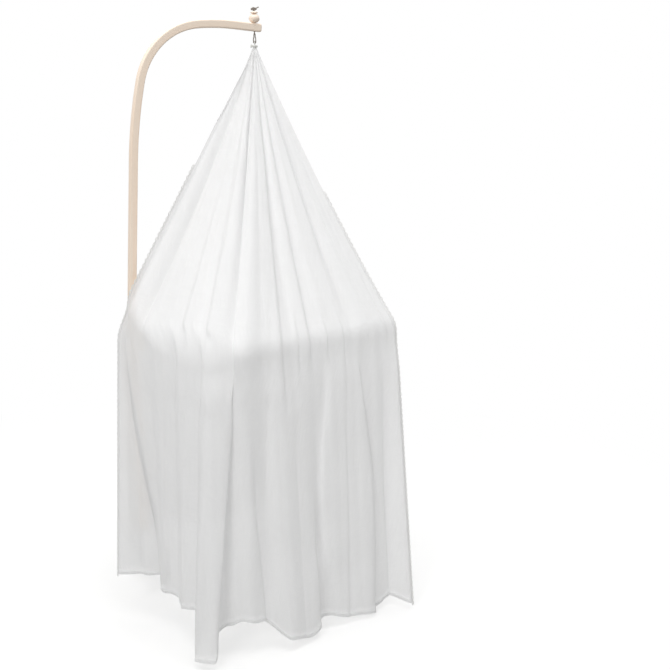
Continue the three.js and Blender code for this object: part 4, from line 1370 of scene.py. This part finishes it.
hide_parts("gathered_neck")

white_voile = voile_material()
slope_rows = 56
drop_rows = 66
drop_row_crowding = 1.35
hem_row_widths = (1.06, 1, 0.66, 0.33)
edge_column_widths = (0, 0.5, 1, 1.12)
drop_height = shoulder_z - hem_z
hem_shares = [1 - hem_width * k / drop_height for k in hem_row_widths]
rows_down = [(1 - math.cos(math.pi * k / (slope_rows - 1))) / 2 for k in range(slope_rows)]
rows_down += [1 + hem_shares[0] * (k / (drop_rows - 1)) ** drop_row_crowding for k in range(1, drop_rows)]
rows_down += [1 + share for share in hem_shares[1:]] + [2]
rows_down = np.array(rows_down)
panel_specs = {
    "near": (-1, near_plan, True, near_hem, near_pleats, near_folds, 11),
    "far": (1, far_plan, False, far_hem, far_pleats, far_folds, 29),
}
grids = {}
panels = {}
for name, (side, plan, wraps, hem, pleats, folds, seed) in panel_specs.items():
    contour = even_line(plan, np.array((0.0, 1.0)))[1]
    edges = [edge_hem_width * k / contour for k in edge_column_widths]
    grid = hang_panel(plan, wraps, hem, pleats, folds, seed, edges, rows_down)
    grid[:, :, 1] *= side
    thickness = np.full(grid.shape[:2], cloth_thickness)
    thickness[:, -4:] = hem_thickness
    below_neck = rows_down > trim_start
    for column in (0, 1, 2, -1, -2, -3):
        thickness[column, below_neck] = hem_thickness
    grids[name] = grid
    panels[name] = cloth_shell(f"{name}_voile_panel", grid, thickness)
    panels[name].data.materials.append(white_voile)
    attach(panels[name], "canopy")
    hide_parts(f"{name}_panel")

# Picot edging
# A narrow cotton lace, sewn to the upright edges of both panels from half way down the slope to the hem.
# It is a band with a row of small scallops, each round one eyelet and tipped with a picot.
scallop_pitch = 0.016
scallop_depth = 0.0048
scallop_fullness = 0.8
scallop_foot_ease = 1.35
picot_depth = 0.0008
picots_a_turn = 3
band_width = 0.0012
eyelet_radius = 0.0015
eyelet_width_share = 1.15
eyelet_height_share = 0.42
lace_thickness = 0.0006
scallop_corners = 20
stitch_pitch = 0.0042
stitch_length = 0.0030
stitch_radius = 0.00022
stitch_sides = 6
stitch_end_share = 0.35
stitch_full_share = 0.3


def edge_row_tree():
    """Sets copies of a unit along an edge, its X along the edge and its Z along the cloth's direction."""
    tree = bpy.data.node_groups.new("row along an edge", "GeometryNodeTree")
    given, kept = group_ends(
        tree,
        {"Edge": "Geometry", "Unit": "Object", "Pitch": "Float", "Finish": "Material"},
        {"Row": "Geometry"},
    )
    tangent = node(tree, "GeometryNodeInputTangent").outputs[0]
    cloth = node(tree, "GeometryNodeInputNamedAttribute", {"Name": "cloth"}, data_type="FLOAT_VECTOR")
    along = node(tree, "FunctionNodeAlignRotationToVector", {"Vector": tangent}, axis="X").outputs[0]
    level = node(tree, "FunctionNodeAlignRotationToVector", {
        "Rotation": along, "Vector": cloth.outputs[0]}, axis="Z", pivot_axis="X").outputs[0]
    placed = node(tree, "GeometryNodeInstanceOnPoints", {
        "Points": even_curve(tree, given["Edge"], given["Pitch"]),
        "Instance": node(tree, "GeometryNodeObjectInfo", {"Object": given["Unit"]}).outputs["Geometry"],
        "Rotation": level,
    }).outputs[0]
    feed(tree, kept, {"Row": made_real(tree, placed, given["Finish"])})
    return tree


def scallop_unit():
    """One repeat of the lace: a band and a scallop round its eyelet, as a thin closed plate."""
    outline, eyelet = [], []
    eyelet_y = band_width + scallop_depth * eyelet_height_share
    for k in range(scallop_corners):
        turn = 2 * math.pi * k / scallop_corners
        x = scallop_pitch / 2 * math.cos(turn)
        if math.sin(turn) >= 0:
            picot = picot_depth * max(0, math.cos(picots_a_turn * (turn - math.pi / 2))) ** 2
            y = band_width + scallop_depth * math.sin(turn) ** scallop_fullness + picot
        else:
            x = math.copysign(min(abs(x) * scallop_foot_ease, scallop_pitch / 2), x)
            y = 0.0
        outline.append((x, y))
        eyelet.append((
            eyelet_radius * eyelet_width_share * math.cos(turn), eyelet_y + eyelet_radius * math.sin(turn)))
    rings = []
    for ring, height in ((outline, -1 / 2), (outline, 1 / 2), (eyelet, 1 / 2), (eyelet, -1 / 2)):
        rings.append([(x, y, height * lace_thickness) for x, y in ring])
    return skinned("scallop", rings, closed=True)


def stitch_unit():
    """One stitch of sewing thread, bowed over the cloth."""
    rings = []
    turns = [2 * math.pi * k / stitch_sides for k in range(stitch_sides)]
    for share in (-1 / 2, -stitch_full_share, stitch_full_share, 1 / 2):
        radius = stitch_radius * (1 if abs(share) < 1 / 2 else stitch_end_share)
        lift = stitch_radius * (1 - 4 * share * share)
        x = stitch_length * share
        rings.append([(x, radius * math.cos(turn), lift + radius * math.sin(turn)) for turn in turns])
    return skinned("stitch", rings)


def edge_carrier(points, directions):
    """A mesh of bare edges that carries the cloth's direction at each point."""
    carrier = path_carrier([(points, False)])
    cloth = carrier.data.attributes.new("cloth", "FLOAT_VECTOR", "POINT")
    cloth.data.foreach_set("vector", np.array(directions).ravel())
    return carrier


def lace_material(name, pale, deep):
    """Cotton lace and thread: bright, with closely packed yarns."""
    material, tree, shader, end = new_material(name)
    place = object_place(tree)
    yarns = noise(tree, place, scale=1900, detail=3, distortion=0.6)
    cells = node(tree, "ShaderNodeTexVoronoi", {"Vector": place, "Scale": 1300}).outputs["Distance"]
    colour = blend(tree, yarns, deep, pale)
    feed(tree, shader, {
        "Base Color": colour, "Roughness": ranged(tree, yarns, to_low=0.75, to_high=0.95),
        "Normal": bumped(tree, cells, strength=0.5, distance=0.0003), "Sheen Weight": 0.2,
    })
    let_through(tree, shader, end, share=0.3, Color=colour)
    return material


edge_row = edge_row_tree()
scallop = scallop_unit()
stitch = stitch_unit()
cotton_lace = lace_material("cotton lace", paint(252, 252, 251), paint(232, 232, 230))
sewing_thread = lace_material("sewing thread", paint(250, 250, 249), paint(222, 222, 220))
trims = {"near": [], "far": []}
for name, grid in grids.items():
    normals = grid_normals(grid)
    trimmed = rows_down >= trim_start
    for edge, column, beside in (("front", 0, 3), ("back", -1, -4)):
        points = grid[column, trimmed]
        away = points - grid[beside, trimmed]
        away /= np.linalg.norm(away, axis=1)[:, None]
        direction = normals[column, trimmed]
        down = np.gradient(points, axis=0)
        facing = np.sign(np.sum(np.cross(direction, down) * away, axis=1))[:, None]
        trim = grow(f"{name}_{edge}_picot", edge_carrier(points, direction * facing), edge_row, {
            "Unit": scallop, "Pitch": scallop_pitch, "Finish": cotton_lace})
        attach(trim, "canopy")
        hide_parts(f"{name}_{edge}_trim")
        trims[name].append(trim)
    hem_row = len(rows_down) - 4
    rise = normals[:, hem_row] * (hem_thickness / 2)
    for face_name, facing in (("outer", 1), ("inner", -1)):
        carrier = edge_carrier(grid[:, hem_row] + rise * facing, normals[:, hem_row] * facing)
        seam = grow(f"{name}_hem_{face_name}_stitches", carrier, edge_row, {
            "Unit": stitch, "Pitch": stitch_pitch, "Finish": sewing_thread})
        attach(seam, "canopy")
        trims[name].append(seam)
bpy.data.objects.remove(scallop)
bpy.data.objects.remove(stitch)

# Floor and light
# A plain pale floor under a white surround, with soft light from above and from the camera's left.
floor_z = -0.835
floor_radius = 14.0
floor_sides = 96
shade_middle = (0.25, 0, floor_z)
shade_reach = 0.6
shade_end = 2.0
shade_least_white = 0.45
surround_strength = 0.6
lamp_aim = (0.25, 0, 0)
lamps = {
    "overhead": {"place": (0.3, -0.3, 5.6), "size": 4.6, "watts": 232},
    "camera left": {"place": (-3.0, -2.3, 1.9), "size": 1.3, "watts": 46},
}


def seen_share(tree):
    """One where the camera sees a spot, also by a mirror or through something clear."""
    path = node(tree, "ShaderNodeLightPath").outputs
    seen = maths(tree, "MAXIMUM", path["Is Camera Ray"], path["Is Glossy Ray"])
    return maths(tree, "MAXIMUM", seen, path["Is Transmission Ray"])


turns = [2 * math.pi * step / floor_sides for step in range(floor_sides)]
rim = [(floor_radius * math.cos(turn), floor_radius * math.sin(turn), floor_z) for turn in turns]
floor_mesh = bpy.data.meshes.new("floor")
floor_mesh.from_pydata(rim, [], [list(range(floor_sides))])
floor = new_object("floor", floor_mesh)
floor_material, floor_tree, floor_shader, floor_end = new_material("pale floor")
floor_seen = seen_share(floor_tree)
floor_middle = node(floor_tree, "ShaderNodeVectorMath", {
    0: object_place(floor_tree), 1: shade_middle}, operation="DISTANCE").outputs["Value"]
floor_far = ranged(floor_tree, floor_middle, shade_reach, shade_end, shade_least_white, 1)
floor_white = maths(floor_tree, "MULTIPLY", floor_far, floor_seen)
floor_glow = node(floor_tree, "ShaderNodeEmission", {"Color": (1, 1, 1, 1), "Strength": 1})
floor_colour = blend(floor_tree, floor_seen, paint(112, 112, 111), paint(250, 250, 249))
feed(floor_tree, floor_shader, {"Roughness": 0.8, "Base Color": floor_colour})
feed(floor_tree, floor_end, {"Surface": shaders_mixed(floor_tree, floor_white, floor_shader, floor_glow)})
floor_mesh.materials.append(floor_material)

surround = bpy.data.worlds.new("surround")
surround.use_nodes = True
sky = surround.node_tree
sky.nodes.clear()
sky_light = node(sky, "ShaderNodeBackground", {"Color": (1, 1, 1, 1), "Strength": surround_strength})
sky_white = node(sky, "ShaderNodeBackground", {"Color": (1, 1, 1, 1), "Strength": 1})
node(sky, "ShaderNodeOutputWorld", {"Surface": shaders_mixed(sky, seen_share(sky), sky_light, sky_white)})
bpy.context.scene.world = surround

for name, lamp_values in lamps.items():
    lamp_data = bpy.data.lights.new(name, "AREA")
    lamp_data.size = lamp_values["size"]
    lamp_data.energy = lamp_values["watts"]
    lamp = new_object(name, lamp_data)
    lamp.location = lamp_values["place"]
    lamp.rotation_euler = (Vector(lamp_aim) - lamp.location).to_track_quat("-Z", "Y").to_euler()
bpy.context.scene.view_settings.view_transform = "Standard"
